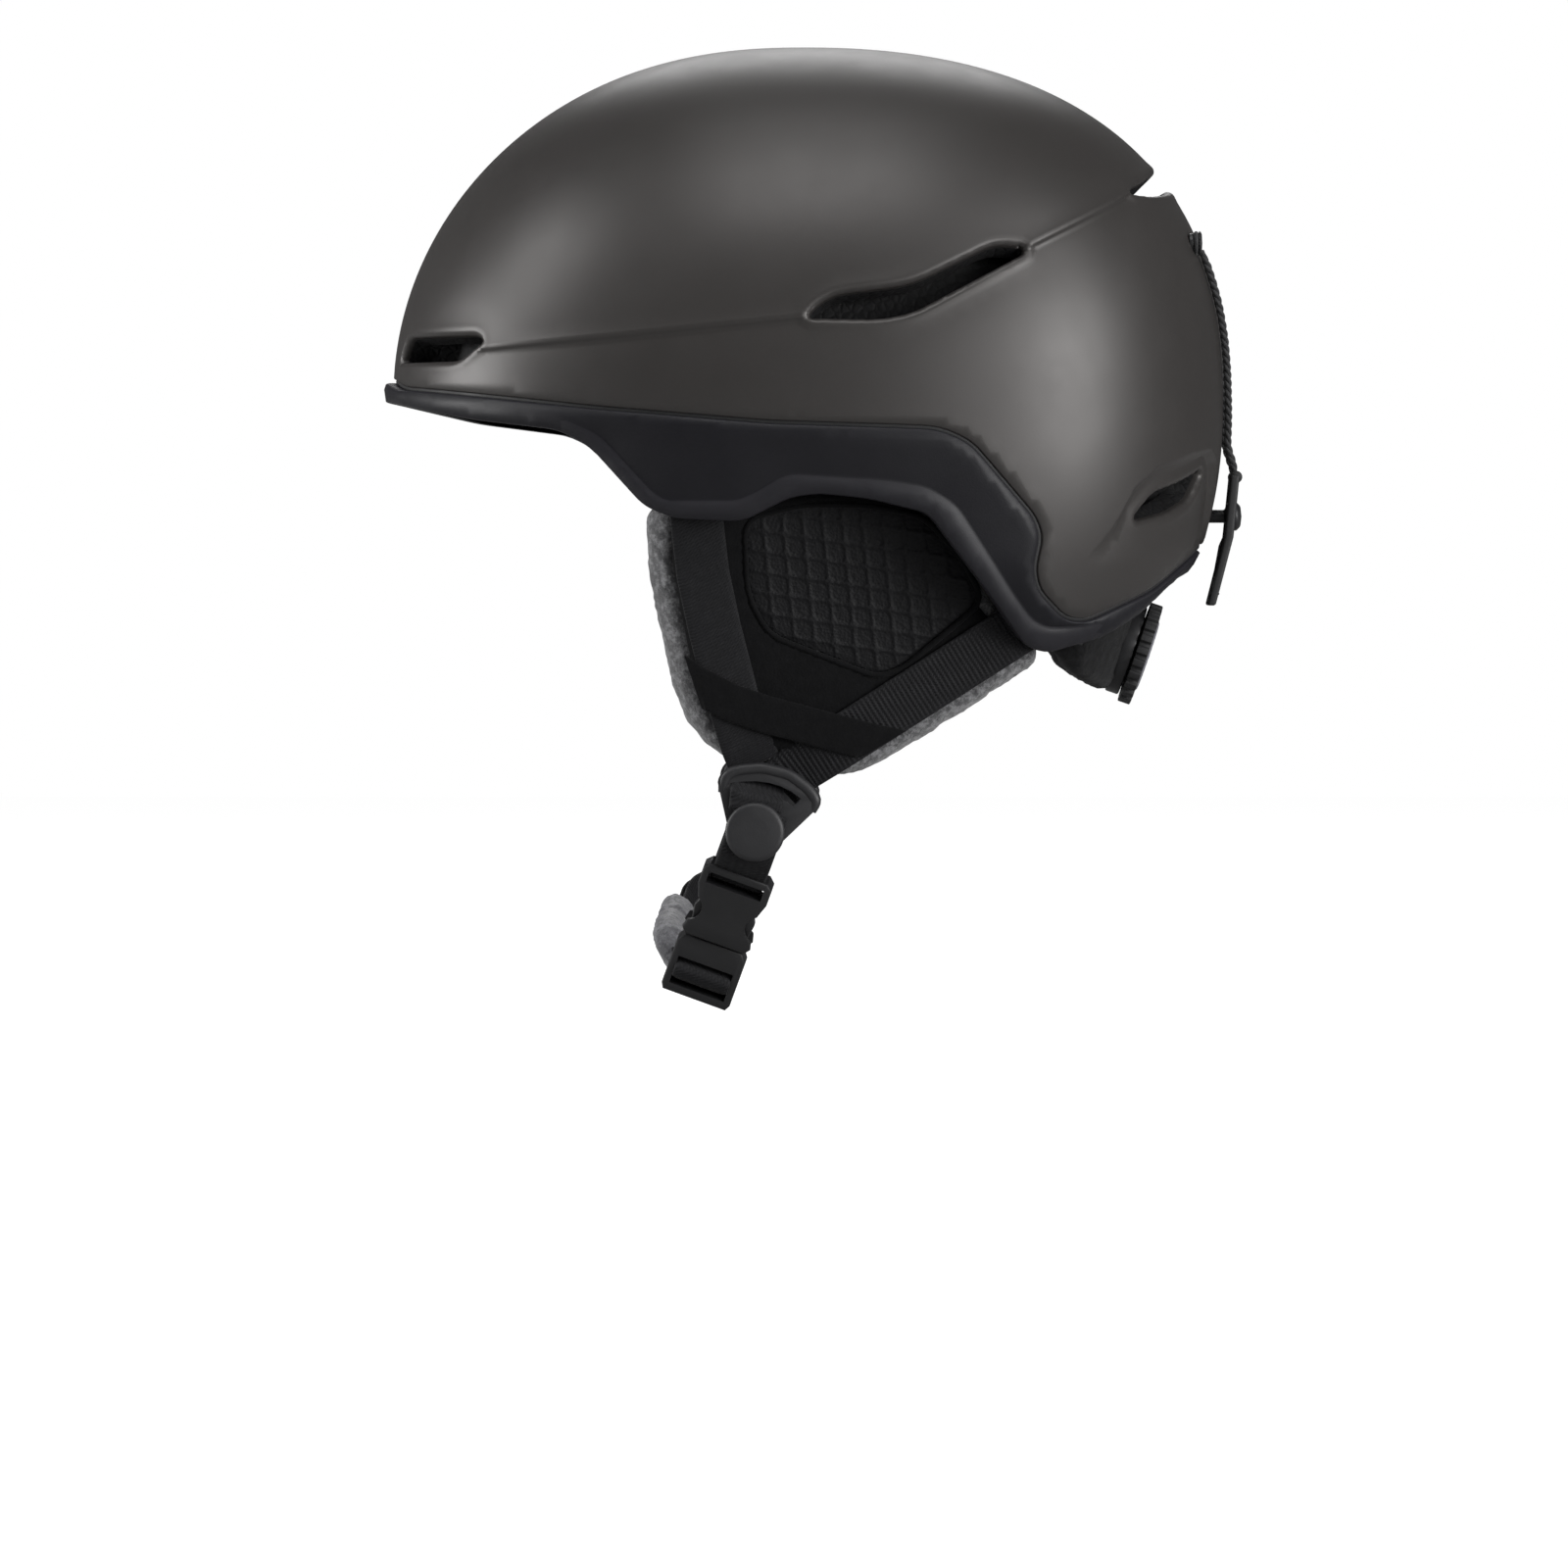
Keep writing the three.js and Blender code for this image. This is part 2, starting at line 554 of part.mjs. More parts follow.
function chinParts() {
  const frame = chinFrame();
  const buckle = buckleFrame();
  const padBody = strapSolid(CHIN_PAD_LINE, 11, 25, 20);
  const strapTunnel = strapSolid(CHIN_STRAP_LINE, STRAP_THICKNESS + 1, STRAP_WIDTH + 1, 60);
  const strap = strapSolid(CHIN_STRAP_LINE, STRAP_THICKNESS, STRAP_WIDTH, 60);
  const loop = strapSolid(LOOP_STRAP_LINE, STRAP_THICKNESS, STRAP_WIDTH, 12);
  const snapStrap = strapSolid(SNAP_STRAP_LINE, STRAP_THICKNESS, STRAP_WIDTH, 12);
  frame.add(toMesh("snap_strap", WEBBING(), snapStrap.subtract(rivetHole(-1))));
  frame.add(toMesh("chin_strap", WEBBING(), hungForwards(strap)));
  frame.add(toMesh("chin_pad", GREY_FLEECE(), hungForwards(padBody.subtract(strapTunnel))));
  frame.add(toMesh("buckle_strap", WEBBING(), loop.subtract(rivetHole(1))));
  buckle.add(toMesh("buckle_female", BLACK_PLASTIC(), buckleFemale()));
  buckle.add(toMesh("buckle_male", BLACK_PLASTIC(), buckleMale()));
  buckle.add(toMesh("buckle_prong_rear", BLACK_PLASTIC(), buckleProng(1)));
  buckle.add(toMesh("buckle_prong_front", BLACK_PLASTIC(), buckleProng(-1)));
  frame.add(buckle);
  return frame;
}

// ---- rear fit system ---------------------------------------------------------------------------
// A curved band in plan between two distances from the cradle's outer face.
function cradleBand(halfWidth, near, far) {
  const steps = 18;
  const arc = (depth) => {
    const points = [];
    for (let i = 0; i <= steps; i += 1) {
      const x = halfWidth * (1 - (2 * i) / steps);
      const radius = CRADLE_ARC_RADIUS - depth;
      points.push([x, Math.sqrt(radius * radius - x * x) - CRADLE_ARC_RADIUS]);
    }
    return points;
  };
  return [...arc(near), ...arc(far).reverse()];
}

// The room that the cradle and its pad take as they slide forwards.
function cradleRunway() {
  const band = alongZ(cradleBand(CRADLE_HALF_WIDTH + 1.4, -1, CRADLE_THICKNESS + 6.8), -15.2, 21.2)
    .rotate([THREE.MathUtils.radToDeg(CRADLE_LEAN), 0, 0])
    .translate([0, CRADLE_Y, CRADLE_Z]);
  let runway = band;
  for (let step = 1; step <= 5; step += 1) {
    runway = runway.add(band.translate([0, (-CRADLE_TRAVEL * step) / 5, 0]));
  }
  return runway;
}

function fitSystem() {
  const frame = new THREE.Group();
  frame.position.set(0, CRADLE_Y, CRADLE_Z);
  frame.rotation.x = CRADLE_LEAN;
  const windowCut = (halfWidth) =>
    alongY(
      [
        [-halfWidth, -2], [-30, -13], [30, -13], [halfWidth, -2], [halfWidth, 10], [24, 18],
        [-24, 18], [-halfWidth, 10],
      ],
      -FAR,
      FAR,
    );
  const cradle = alongZ(cradleBand(CRADLE_HALF_WIDTH, 0, CRADLE_THICKNESS), -14, 20);
  const pad = alongZ(cradleBand(46, CRADLE_THICKNESS + 0.4, CRADLE_THICKNESS + 6), -11, 16);
  frame.add(toMesh("fit_cradle", BLACK_PLASTIC(), cradle.intersect(windowCut(CRADLE_HALF_WIDTH))));
  frame.add(toMesh("cradle_pad", BLACK_FLEECE(), pad.intersect(windowCut(52))));
  frame.add(dialParts());
  return frame;
}

function dialParts() {
  const frame = new THREE.Group();
  frame.position.y = 0.6;
  const housing = turnedAlongY([[0, 0], [15.5, 0], [15.5, 3.4], [4, 3.4], [4, 1.5], [0, 1.5]], 32);
  const pinion = turnedAlongY([[0, 1.9], [3.4, 1.9], [3.4, 3.6], [0, 3.6]], 10);
  const knurled = extruded(knurledShape(), -8.2, -4, ALONG_Y);
  const recess = turnedAlongY([[0, 6.4], [13.6, 6.4], [13.6, 12], [0, 12]], 32);
  const cap = turnedAlongY([[0, 6.8], [13.2, 6.8], [13.2, 8.4], [11, 9.2], [0, 9.4]], 32);
  frame.add(toMesh("dial_housing", BLACK_PLASTIC(), housing));
  frame.add(toMesh("dial_pinion", BLACK_PLASTIC(), pinion));
  frame.add(toMesh("fit_dial", BLACK_PLASTIC(), knurled.subtract(recess)));
  frame.add(toMesh("dial_cap", GREY_PLASTIC(), cap));
  return frame;
}

function knurledShape() {
  const ridges = 24;
  const points = [];
  for (let i = 0; i < ridges; i += 1) {
    for (const [share, radius] of [[0, DIAL_RADIUS], [0.5, DIAL_RADIUS], [0.6, 16.2], [0.9, 16.2]]) {
      const angle = ((i + share) / ridges) * 2 * Math.PI;
      points.push([radius * Math.cos(angle), radius * Math.sin(angle)]);
    }
  }
  return shapeOf(points);
}

const cradleStem = () => block([-9, 108, -23.6], [9, 110.5, 20]);

// ---- goggle-strap retainer ------------------------------------------------------------------------
function retainerCord(sign) {
  const points = [];
  const stops = 8;
  for (let i = 0; i <= stops; i += 1) {
    const share = i / stops;
    const x = ANCHOR_X - 3 + (9.6 - ANCHOR_X + 3) * share;
    const z = ANCHOR_Z - 6 + (CLIP_TOP_Z + 3.2 - ANCHOR_Z + 6) * share;
    points.push(new THREE.Vector3(sign * x, rearSurfaceY(x, z, CORD_STAND_OFF), z));
  }
  const section = new THREE.Shape();
  section.absarc(0, 0, CORD_RADIUS, 0, 2 * Math.PI);
  const geometry = new THREE.ExtrudeGeometry(section, {
    steps: 16,
    curveSegments: 4,
    extrudePath: new THREE.CatmullRomCurve3(points),
  });
  return toSolid(geometry);
}

function retainerAnchor(sign) {
  const surface = rearSurfaceY(ANCHOR_X, ANCHOR_Z, 0);
  const button = turnedAlongY([[0, 0], [4, 0], [4, 2.4], [2.8, 3.6], [0, 4]], 20);
  return moved(button, sign * ANCHOR_X, surface + 1.9, ANCHOR_Z);
}

function retainerClip() {
  const plate = alongX(
    [
      [143.4, 15], [146.4, 15], [145, -6], [141, -29], [138.2, -29], [142, -6],
    ],
    -CLIP_HALF_WIDTH,
    CLIP_HALF_WIDTH,
  );
  const keyhole = block([-6.7, 100, -8], [6.7, 170, 9.6]);
  return plate.subtract(keyhole);
}

function retainerPeg() {
  return turnedAlongY(
    [[0, 120], [2.2, 120], [2.2, 141.6], [4.4, 142.4], [4.8, 145.6], [3.4, 147], [0, 147.4]],
    20,
  ).translate([0, 0, PEG_Z]);
}

// ---- the whole helmet -----------------------------------------------------------------------------
const helmet = new THREE.Group();
helmet.add(toMesh("outer_shell", SHELL_PAINT(), outerShell()));
helmet.add(toMesh("lower_trim", TRIM_PLASTIC(), lowerTrim()));
helmet.add(toMesh("foam_liner", FOAM(), foamLiner()));
comfortPads(helmet);
for (const [side, sign] of [["left", 1], ["right", -1]]) {
  const half = new THREE.Group();
  half.scale.x = sign;
  half.add(earAssembly(side), strapFittings(side));
  helmet.add(half);
  helmet.add(toMesh(`retainer_anchor_${side}`, BLACK_PLASTIC(), retainerAnchor(sign)));
  helmet.add(toMesh(`retainer_cord_${side}`, CORD(), retainerCord(sign)));
}
helmet.add(chinParts());
helmet.add(fitSystem());
helmet.add(toMesh("cradle_stem", BLACK_PLASTIC(), cradleStem()));
helmet.add(toMesh("retainer_clip", RUBBER(), retainerClip()));
helmet.add(toMesh("retainer_peg", BLACK_PLASTIC(), retainerPeg()));

export default helmet;
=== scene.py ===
"""Ski helmet: the looks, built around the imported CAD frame.

Sizes in the piece builders are millimetres in the CAD frame (+Z up, the wearer faces -Y, the wearer's
left is +X); make_mesh turns them into metres.
"""
import math

import bmesh
import bpy
import numpy as np
from mathutils import Matrix, Vector, kdtree, noise
from mathutils.geometry import delaunay_2d_cdt


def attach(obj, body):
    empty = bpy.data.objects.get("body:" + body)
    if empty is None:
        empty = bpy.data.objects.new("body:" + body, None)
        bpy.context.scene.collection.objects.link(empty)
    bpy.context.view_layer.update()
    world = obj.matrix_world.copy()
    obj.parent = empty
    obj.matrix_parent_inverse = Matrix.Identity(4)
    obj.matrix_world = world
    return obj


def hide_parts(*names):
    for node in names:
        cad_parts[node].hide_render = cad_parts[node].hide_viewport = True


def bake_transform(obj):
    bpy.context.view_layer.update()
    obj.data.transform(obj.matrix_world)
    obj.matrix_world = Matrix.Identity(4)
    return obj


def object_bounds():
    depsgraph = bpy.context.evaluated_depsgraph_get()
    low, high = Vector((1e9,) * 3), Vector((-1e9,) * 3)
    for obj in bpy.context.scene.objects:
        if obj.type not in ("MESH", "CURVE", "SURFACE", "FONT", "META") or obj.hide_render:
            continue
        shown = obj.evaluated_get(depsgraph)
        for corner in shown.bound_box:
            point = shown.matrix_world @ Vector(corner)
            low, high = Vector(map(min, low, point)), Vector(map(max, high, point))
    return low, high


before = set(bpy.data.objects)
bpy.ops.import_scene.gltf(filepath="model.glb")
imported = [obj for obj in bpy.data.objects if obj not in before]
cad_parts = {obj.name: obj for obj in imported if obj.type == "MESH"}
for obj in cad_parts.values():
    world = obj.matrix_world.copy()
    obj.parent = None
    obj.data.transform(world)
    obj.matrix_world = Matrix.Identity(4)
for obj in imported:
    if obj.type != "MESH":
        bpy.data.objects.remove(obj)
cad_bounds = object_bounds()
MM = 0.001

# ---- camera: the side view, from the wearer's left, through a long lens ----------------------------
VIEW_WIDTH = 0.528
VIEW_CENTRE = Vector((0.0, -0.0066, -0.0891))
CAMERA_DISTANCE = 4.2
CAMERA_ELEVATION = math.radians(1.0)


def add_camera():
    data = bpy.data.cameras.new("camera")
    data.sensor_width = 36.0
    data.lens = data.sensor_width * CAMERA_DISTANCE / VIEW_WIDTH
    data.clip_end = 50.0
    camera = bpy.data.objects.new("camera", data)
    direction = Vector((math.cos(CAMERA_ELEVATION), 0.0, math.sin(CAMERA_ELEVATION)))
    camera.location = VIEW_CENTRE + direction * CAMERA_DISTANCE
    camera.rotation_euler = (-direction).to_track_quat("-Z", "Y").to_euler()
    bpy.context.scene.collection.objects.link(camera)
    bpy.context.scene.camera = camera


add_camera()

# ---- the egg-shaped outer form ------------------------------------------------------------------------
HALF_WIDTH, FRONT_REACH, REAR_REACH, CROWN_RISE = 115.5, 138.0, 141.0, 118.5
SKIRT_SIDE, SKIRT_REAR = 165.0, 112.0
EQUATOR_Z = 40.0
PLAN_POWER, FRONT_POWER, REAR_POWER = 2.35, 2.06, 2.45
CENTRE = np.array([0.0, 0.0, EQUATOR_Z])


def form_radius(direction, inset=0.0, brim=0.0):
    x, y, z = direction[:, 0], direction[:, 1], direction[:, 2]
    rearward = np.maximum(0.0, y)
    reach = np.where(y > 0, REAR_REACH - inset, FRONT_REACH - inset + brim)
    skirt = SKIRT_SIDE + (SKIRT_REAR - SKIRT_SIDE) * rearward**2 - inset
    rise = np.where(z > 0, CROWN_RISE - inset, skirt)
    power = FRONT_POWER + (REAR_POWER - FRONT_POWER) * (1 + y) / 2
    plan = np.abs(x / (HALF_WIDTH - inset)) ** PLAN_POWER + np.abs(y / reach) ** PLAN_POWER
    total = plan ** (power / PLAN_POWER) + np.abs(z / rise) ** power
    return total ** (-1 / power)


def unit(vectors):
    return vectors / np.maximum(np.linalg.norm(vectors, axis=-1, keepdims=True), 1e-12)


def to_form(points, inset=0.0, brim=0.0):
    """Points moved along their ray from the form's centre on to the form."""
    direction = unit(np.atleast_2d(points) - CENTRE)
    return CENTRE + direction * form_radius(direction, inset, brim)[:, None]


def form_height(points, inset=0.0):
    offset = np.atleast_2d(points) - CENTRE
    length = np.linalg.norm(offset, axis=1)
    return length / form_radius(unit(offset), inset)


def form_normals(points):
    step = 0.5
    slopes = [
        form_height(points + step * axis) - form_height(points - step * axis) for axis in np.eye(3)
    ]
    return unit(np.stack(slopes, axis=1))


def solve_on_form(points, axis, sign, inset=0.0):
    """Slide points along one axis until they meet the form; points that miss it stay at zero."""
    low = np.zeros(len(points))
    high = np.full(len(points), 2 * REAR_REACH)
    for _ in range(45):
        middle = (low + high) / 2
        trial = points.copy()
        trial[:, axis] = sign * middle
        inside = form_height(trial, inset) < 1
        low = np.where(inside, middle, low)
        high = np.where(inside, high, middle)
    solved = points.copy()
    solved[:, axis] = sign * low
    return solved


def to_chart(points):
    direction = unit(points - CENTRE)
    polar = np.arccos(np.clip(direction[:, 2], -1, 1))
    around = np.arctan2(direction[:, 1], direction[:, 0])
    radius = np.tan(polar / 2)
    return np.stack([radius * np.cos(around), radius * np.sin(around)], axis=1)


def from_chart(flat):
    radius = np.hypot(flat[:, 0], flat[:, 1])
    around = np.arctan2(flat[:, 1], flat[:, 0])
    polar = 2 * np.arctan(radius)
    direction = np.stack(
        [np.sin(polar) * np.cos(around), np.sin(polar) * np.sin(around), np.cos(polar)], axis=1
    )
    return CENTRE + direction * form_radius(direction)[:, None]


# ---- lines and outlines ---------------------------------------------------------------------------
def rounded(points, radius, closed=True, steps=5):
    """A polygon with its corners cut back and joined by smooth curves."""
    points = [np.array(p, float) for p in points]
    count = len(points)
    result = []
    for i, corner in enumerate(points):
        if not closed and i in (0, count - 1):
            result.append(corner)
            continue
        before, after = points[i - 1], points[(i + 1) % count]
        first, second = before - corner, after - corner
        reach = min(radius, 0.45 * np.linalg.norm(first), 0.45 * np.linalg.norm(second))
        start = corner + reach * first / np.linalg.norm(first)
        end = corner + reach * second / np.linalg.norm(second)
        for k in range(steps + 1):
            t = k / steps
            result.append((1 - t) ** 2 * start + 2 * t * (1 - t) * corner + t * t * end)
    return np.array(result)


def resampled(points, step, closed=False):
    if closed:
        points = np.vstack([points, points[:1]])
    lengths = np.concatenate([[0], np.cumsum(np.linalg.norm(np.diff(points, axis=0), axis=1))])
    count = max(3, int(round(lengths[-1] / step)))
    at = np.linspace(0, lengths[-1], count + 1)
    if closed:
        at = at[:-1]
    return np.stack([np.interp(at, lengths, points[:, k]) for k in range(points.shape[1])], axis=1)


def on_side(line, step=2.0):
    """A side-view [y, z] line laid on the wearer's left of the form."""
    dense = resampled(np.array(line, float), 0.06)
    points = np.column_stack([np.zeros(len(dense)), dense])
    solved = solve_on_form(points, 0, 1)
    solved = solved[form_height(points) < 1.0002]
    return resampled(to_form(solved), step)


def on_end(line, sign, step=1.5, closed=True):
    """A front-view or rear-view [x, z] line laid on the front (-1) or the back (+1) of the form."""
    dense = resampled(np.array(line, float), 0.4, closed)
    points = np.column_stack([dense[:, 0], np.zeros(len(dense)), dense[:, 1]])
    return resampled(to_form(solve_on_form(points, 1, sign)), step, closed)


def flipped(points):
    return points[::-1] * np.array([-1, 1, 1])


def ring_from_half(half):
    """The whole ring of a line on the wearer's left that runs from the front to the back."""
    half = half.copy()
    half[0, 0] = half[-1, 0] = 0.0
    return np.vstack([half, flipped(half)[1:-1]])


def moved_sideways(loop, distance, closed=True):
    """A loop on the form moved within the form: positive goes outwards from a closed loop."""
    if closed:
        run = unit(np.roll(loop, -1, axis=0) - np.roll(loop, 1, axis=0))
    else:
        run = unit(np.gradient(loop, axis=0))
    side = np.cross(run, form_normals(loop))
    if closed:
        centre = loop.mean(axis=0)
        if np.mean(np.sum(side * (loop - centre), axis=1)) < 0:
            side = -side
    return to_form(loop + side * distance)


def distance_to(points, line):
    tree = kdtree.KDTree(len(line))
    for i, p in enumerate(line):
        tree.insert(p, i)
    tree.balance()
    return np.array([tree.find(p)[2] for p in points])


def inside_polygon(points, polygon):
    x, y = points[:, 0], points[:, 1]
    inside = np.zeros(len(points), bool)
    x0, y0 = polygon[-1]
    for x1, y1 in polygon:
        crosses = (y1 > y) != (y0 > y)
        span = y0 - y1 if y0 != y1 else 1e-12
        inside ^= crosses & (x < (x0 - x1) * (y - y1) / span + x1)
        x0, y0 = x1, y1
    return inside


def smooth_step(value, low, high):
    t = np.clip((value - low) / (high - low), 0, 1)
    return t * t * (3 - 2 * t)


# ---- mesh helpers ---------------------------------------------------------------------------------
def make_mesh(name, vertices, faces, smooth=True):
    mesh = bpy.data.meshes.new(name)
    mesh.from_pydata([tuple(float(c) * MM for c in v) for v in vertices], [], [tuple(f) for f in faces])
    mesh.validate()
    mesh.update()
    if smooth:
        mesh.polygons.foreach_set("use_smooth", [True] * len(mesh.polygons))
    piece = bpy.data.objects.new(name, mesh)
    bpy.context.scene.collection.objects.link(piece)
    return piece


def finish_piece(piece, body, slot, material, *nodes):
    piece.data.materials.clear()
    piece.data.materials.append(material)
    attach(piece, body)
    if nodes:
        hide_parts(*nodes)
    return piece


def grid_faces(rows, columns, wrap_rows=False, wrap_columns=False):
    faces = []
    for i in range(rows if wrap_rows else rows - 1):
        for j in range(columns if wrap_columns else columns - 1):
            a, b = i * columns + j, i * columns + (j + 1) % columns
            c, d = ((i + 1) % rows) * columns + (j + 1) % columns, ((i + 1) % rows) * columns + j
            faces.append((a, b, c, d))
    return faces


# ---- materials ------------------------------------------------------------------------------------
class Surface:
    """A procedural material built from named layers; every pattern is in metres, fixed to the object."""

    def __init__(self, name, colour, roughness, **fixed):
        self.material = bpy.data.materials.new(name)
        self.material.use_nodes = True
        self.tree = self.material.node_tree
        self.shader = self.tree.nodes["Principled BSDF"]
        self.where = self.tree.nodes.new("ShaderNodeTexCoord").outputs["Object"]
        self.colour = self.value_colour(colour)
        self.shader.inputs["Roughness"].default_value = roughness
        self.roughness = roughness
        self.height = None
        for socket, value in fixed.items():
            self.shader.inputs[socket.replace("_", " ")].default_value = value

    def value_colour(self, colour):
        node = self.tree.nodes.new("ShaderNodeRGB")
        node.outputs[0].default_value = (*colour, 1.0)
        return node.outputs[0]

    def noise(self, scale, detail=3.0, roughness=0.55, distortion=0.0, stretch=None):
        node = self.tree.nodes.new("ShaderNodeTexNoise")
        node.inputs["Scale"].default_value = scale
        node.inputs["Detail"].default_value = detail
        node.inputs["Roughness"].default_value = roughness
        node.inputs["Distortion"].default_value = distortion
        self.tree.links.new(self.stretched(stretch), node.inputs["Vector"])
        return node.outputs[0]

    def cells(self, scale, feature="F1", stretch=None):
        node = self.tree.nodes.new("ShaderNodeTexVoronoi")
        node.feature = feature
        node.inputs["Scale"].default_value = scale
        self.tree.links.new(self.stretched(stretch), node.inputs["Vector"])
        return node.outputs["Distance"]

    def stripes(self, scale, rotation, distortion=0.0, profile="SIN"):
        node = self.tree.nodes.new("ShaderNodeTexWave")
        node.wave_profile = profile
        node.inputs["Scale"].default_value = scale
        node.inputs["Distortion"].default_value = distortion
        mapping = self.tree.nodes.new("ShaderNodeMapping")
        mapping.inputs["Rotation"].default_value = rotation
        self.tree.links.new(self.where, mapping.inputs["Vector"])
        self.tree.links.new(mapping.outputs[0], node.inputs["Vector"])
        return node.outputs["Fac"]

    def stretched(self, stretch):
        if stretch is None:
            return self.where
        mapping = self.tree.nodes.new("ShaderNodeMapping")
        mapping.inputs["Scale"].default_value = stretch
        self.tree.links.new(self.where, mapping.inputs["Vector"])
        return mapping.outputs[0]

    def ranged(self, value, low, high, to_low=0.0, to_high=1.0):
        node = self.tree.nodes.new("ShaderNodeMapRange")
        for k, number in enumerate((low, high, to_low, to_high)):
            node.inputs[k + 1].default_value = number
        self.tree.links.new(value, node.inputs[0])
        return node.outputs[0]

    def tint(self, factor, colour):
        """Mixes another colour over the base where the factor is high."""
        node = self.tree.nodes.new("ShaderNodeMix")
        node.data_type = "RGBA"
        self.tree.links.new(factor, node.inputs[0])
        self.tree.links.new(self.colour, node.inputs[6])
        node.inputs[7].default_value = (*colour, 1.0)
        self.colour = node.outputs[2]
        return self

    def vary_roughness(self, factor, spread):
        value = self.ranged(factor, 0.3, 0.7, self.roughness - spread, self.roughness + spread)
        self.tree.links.new(value, self.shader.inputs["Roughness"])
        return self

    def bump(self, height, distance, strength=1.0):
        """Adds relief of the given depth in millimetres."""
        node = self.tree.nodes.new("ShaderNodeBump")
        node.inputs["Strength"].default_value = strength
        node.inputs["Distance"].default_value = distance * MM
        self.tree.links.new(height, node.inputs["Height"])
        if self.height is not None:
            self.tree.links.new(self.height, node.inputs["Normal"])
        self.height = node.outputs[0]
        return self

    def done(self):
        self.tree.links.new(self.colour, self.shader.inputs["Base Color"])
        if self.height is not None:
            self.tree.links.new(self.height, self.shader.inputs["Normal"])
        return self.material


def shell_paint():
    s = Surface("shell_paint", (0.040, 0.037, 0.0355), 0.42, Metallic=0.35, Coat_Weight=0.12,
                Coat_Roughness=0.38, Specular_IOR_Level=0.42)
    broad = s.noise(9.0, 2.0)
    s.tint(s.ranged(broad, 0.35, 0.7, 0.0, 0.35), (0.046, 0.0425, 0.0405))
    s.tint(s.ranged(s.noise(5200.0, 1.0), 0.62, 0.78, 0.0, 0.30), (0.085, 0.08, 0.077))
    s.vary_roughness(s.noise(60.0, 4.0), 0.025)
    s.bump(s.noise(1400.0, 2.0), 0.012)
    return s.done()


def trim_plastic(name, colour):
    s = Surface(name, colour, 0.50, Specular_IOR_Level=0.30)
    s.tint(s.ranged(s.noise(24.0, 4.0), 0.4, 0.75, 0.0, 0.4), tuple(1.25 * c for c in colour))
    s.vary_roughness(s.noise(90.0, 3.0), 0.04)
    s.bump(s.cells(1500.0), 0.022, 0.6).bump(s.noise(2600.0, 2.0), 0.012)
    return s.done()


def bead_foam():
    s = Surface("bead_foam", (0.0095, 0.0095, 0.0100), 0.72, Specular_IOR_Level=0.3)
    edges = s.cells(330.0, "DISTANCE_TO_EDGE")
    # Darker along the bead edges, where the bump dips: painted shade in the grooves between the beads.
    s.tint(s.ranged(edges, 0.0, 0.12, 0.6, 0.0), (0.004, 0.004, 0.004))
    s.tint(s.ranged(s.noise(120.0), 0.45, 0.75, 0.0, 0.5), (0.015, 0.015, 0.016))
    s.bump(s.ranged(edges, 0.0, 0.25), 0.22, 0.8).bump(s.noise(900.0), 0.05)
    return s.done()


def fleece(name, colour, light, depth=0.5, sheen=0.35):
    s = Surface(name, colour, 0.95, Sheen_Weight=sheen, Sheen_Roughness=0.55, Specular_IOR_Level=0.15)
    s.tint(s.ranged(s.noise(330.0, 6.0, 0.7), 0.44, 0.60), light)
    s.tint(s.ranged(s.noise(900.0, 3.0, 0.7), 0.50, 0.68, 0.0, 0.75), tuple(0.4 * c for c in colour))
    s.bump(s.noise(420.0, 5.0, 0.75, 0.6), depth, 0.8).bump(s.noise(1700.0, 3.0, 0.7), 0.18, 0.7)
    return s.done()


def knit_fabric():
    s = Surface("knit_fabric", (0.0036, 0.0036, 0.0040), 0.9, Sheen_Weight=0.03, Sheen_Roughness=0.5,
                Specular_IOR_Level=0.12)
    s.tint(s.ranged(s.noise(260.0, 4.0, 0.65), 0.4, 0.72, 0.0, 0.7), (0.0062, 0.0062, 0.0068))
    s.bump(s.cells(1150.0, stretch=(1.0, 1.0, 0.7)), 0.12, 0.8).bump(s.noise(2600.0), 0.05)
    return s.done()


def mesh_fabric():
    s = Surface("mesh_fabric", (0.0036, 0.0036, 0.0044), 0.62, Sheen_Weight=0.02, Sheen_Roughness=0.5,
                Specular_IOR_Level=0.20)
    holes = s.cells(1000.0)
    s.tint(s.ranged(holes, 0.0, 0.35, 0.9, 0.0), (0.0012, 0.0012, 0.0015))
    s.tint(s.ranged(s.noise(200.0), 0.5, 0.8, 0.0, 0.5), (0.0075, 0.0075, 0.0085))
    s.bump(holes, 0.18, 0.9)
    return s.done()


def woven_webbing():
    s = Surface("woven_webbing", (0.0070, 0.0070, 0.0082), 0.70, Sheen_Weight=0.05,
                Sheen_Roughness=0.45, Specular_IOR_Level=0.22)
    twill = s.stripes(420.0, (0.6, 0.35, 0.5), 0.4)
    cross = s.stripes(560.0, (-0.7, 0.5, 0.2), 0.4)
    s.tint(s.ranged(s.noise(340.0, 4.0), 0.45, 0.75, 0.0, 0.6), (0.0135, 0.0135, 0.0152))
    s.tint(s.ranged(twill, 0.0, 0.5, 0.5, 0.0), (0.0030, 0.0030, 0.0034))
    s.bump(twill, 0.14, 0.8).bump(cross, 0.08, 0.7).bump(s.noise(2500.0), 0.03)
    return s.done()


def moulded(name, colour, roughness, light, grain=0.016):
    s = Surface(name, colour, roughness, Specular_IOR_Level=0.42)
    s.tint(s.ranged(s.noise(55.0, 4.0), 0.42, 0.75, 0.0, 0.5), light)
    s.vary_roughness(s.noise(140.0, 3.0), 0.05)
    s.bump(s.noise(2100.0, 2.0), grain).bump(s.cells(1300.0), grain * 0.7, 0.5)
    return s.done()


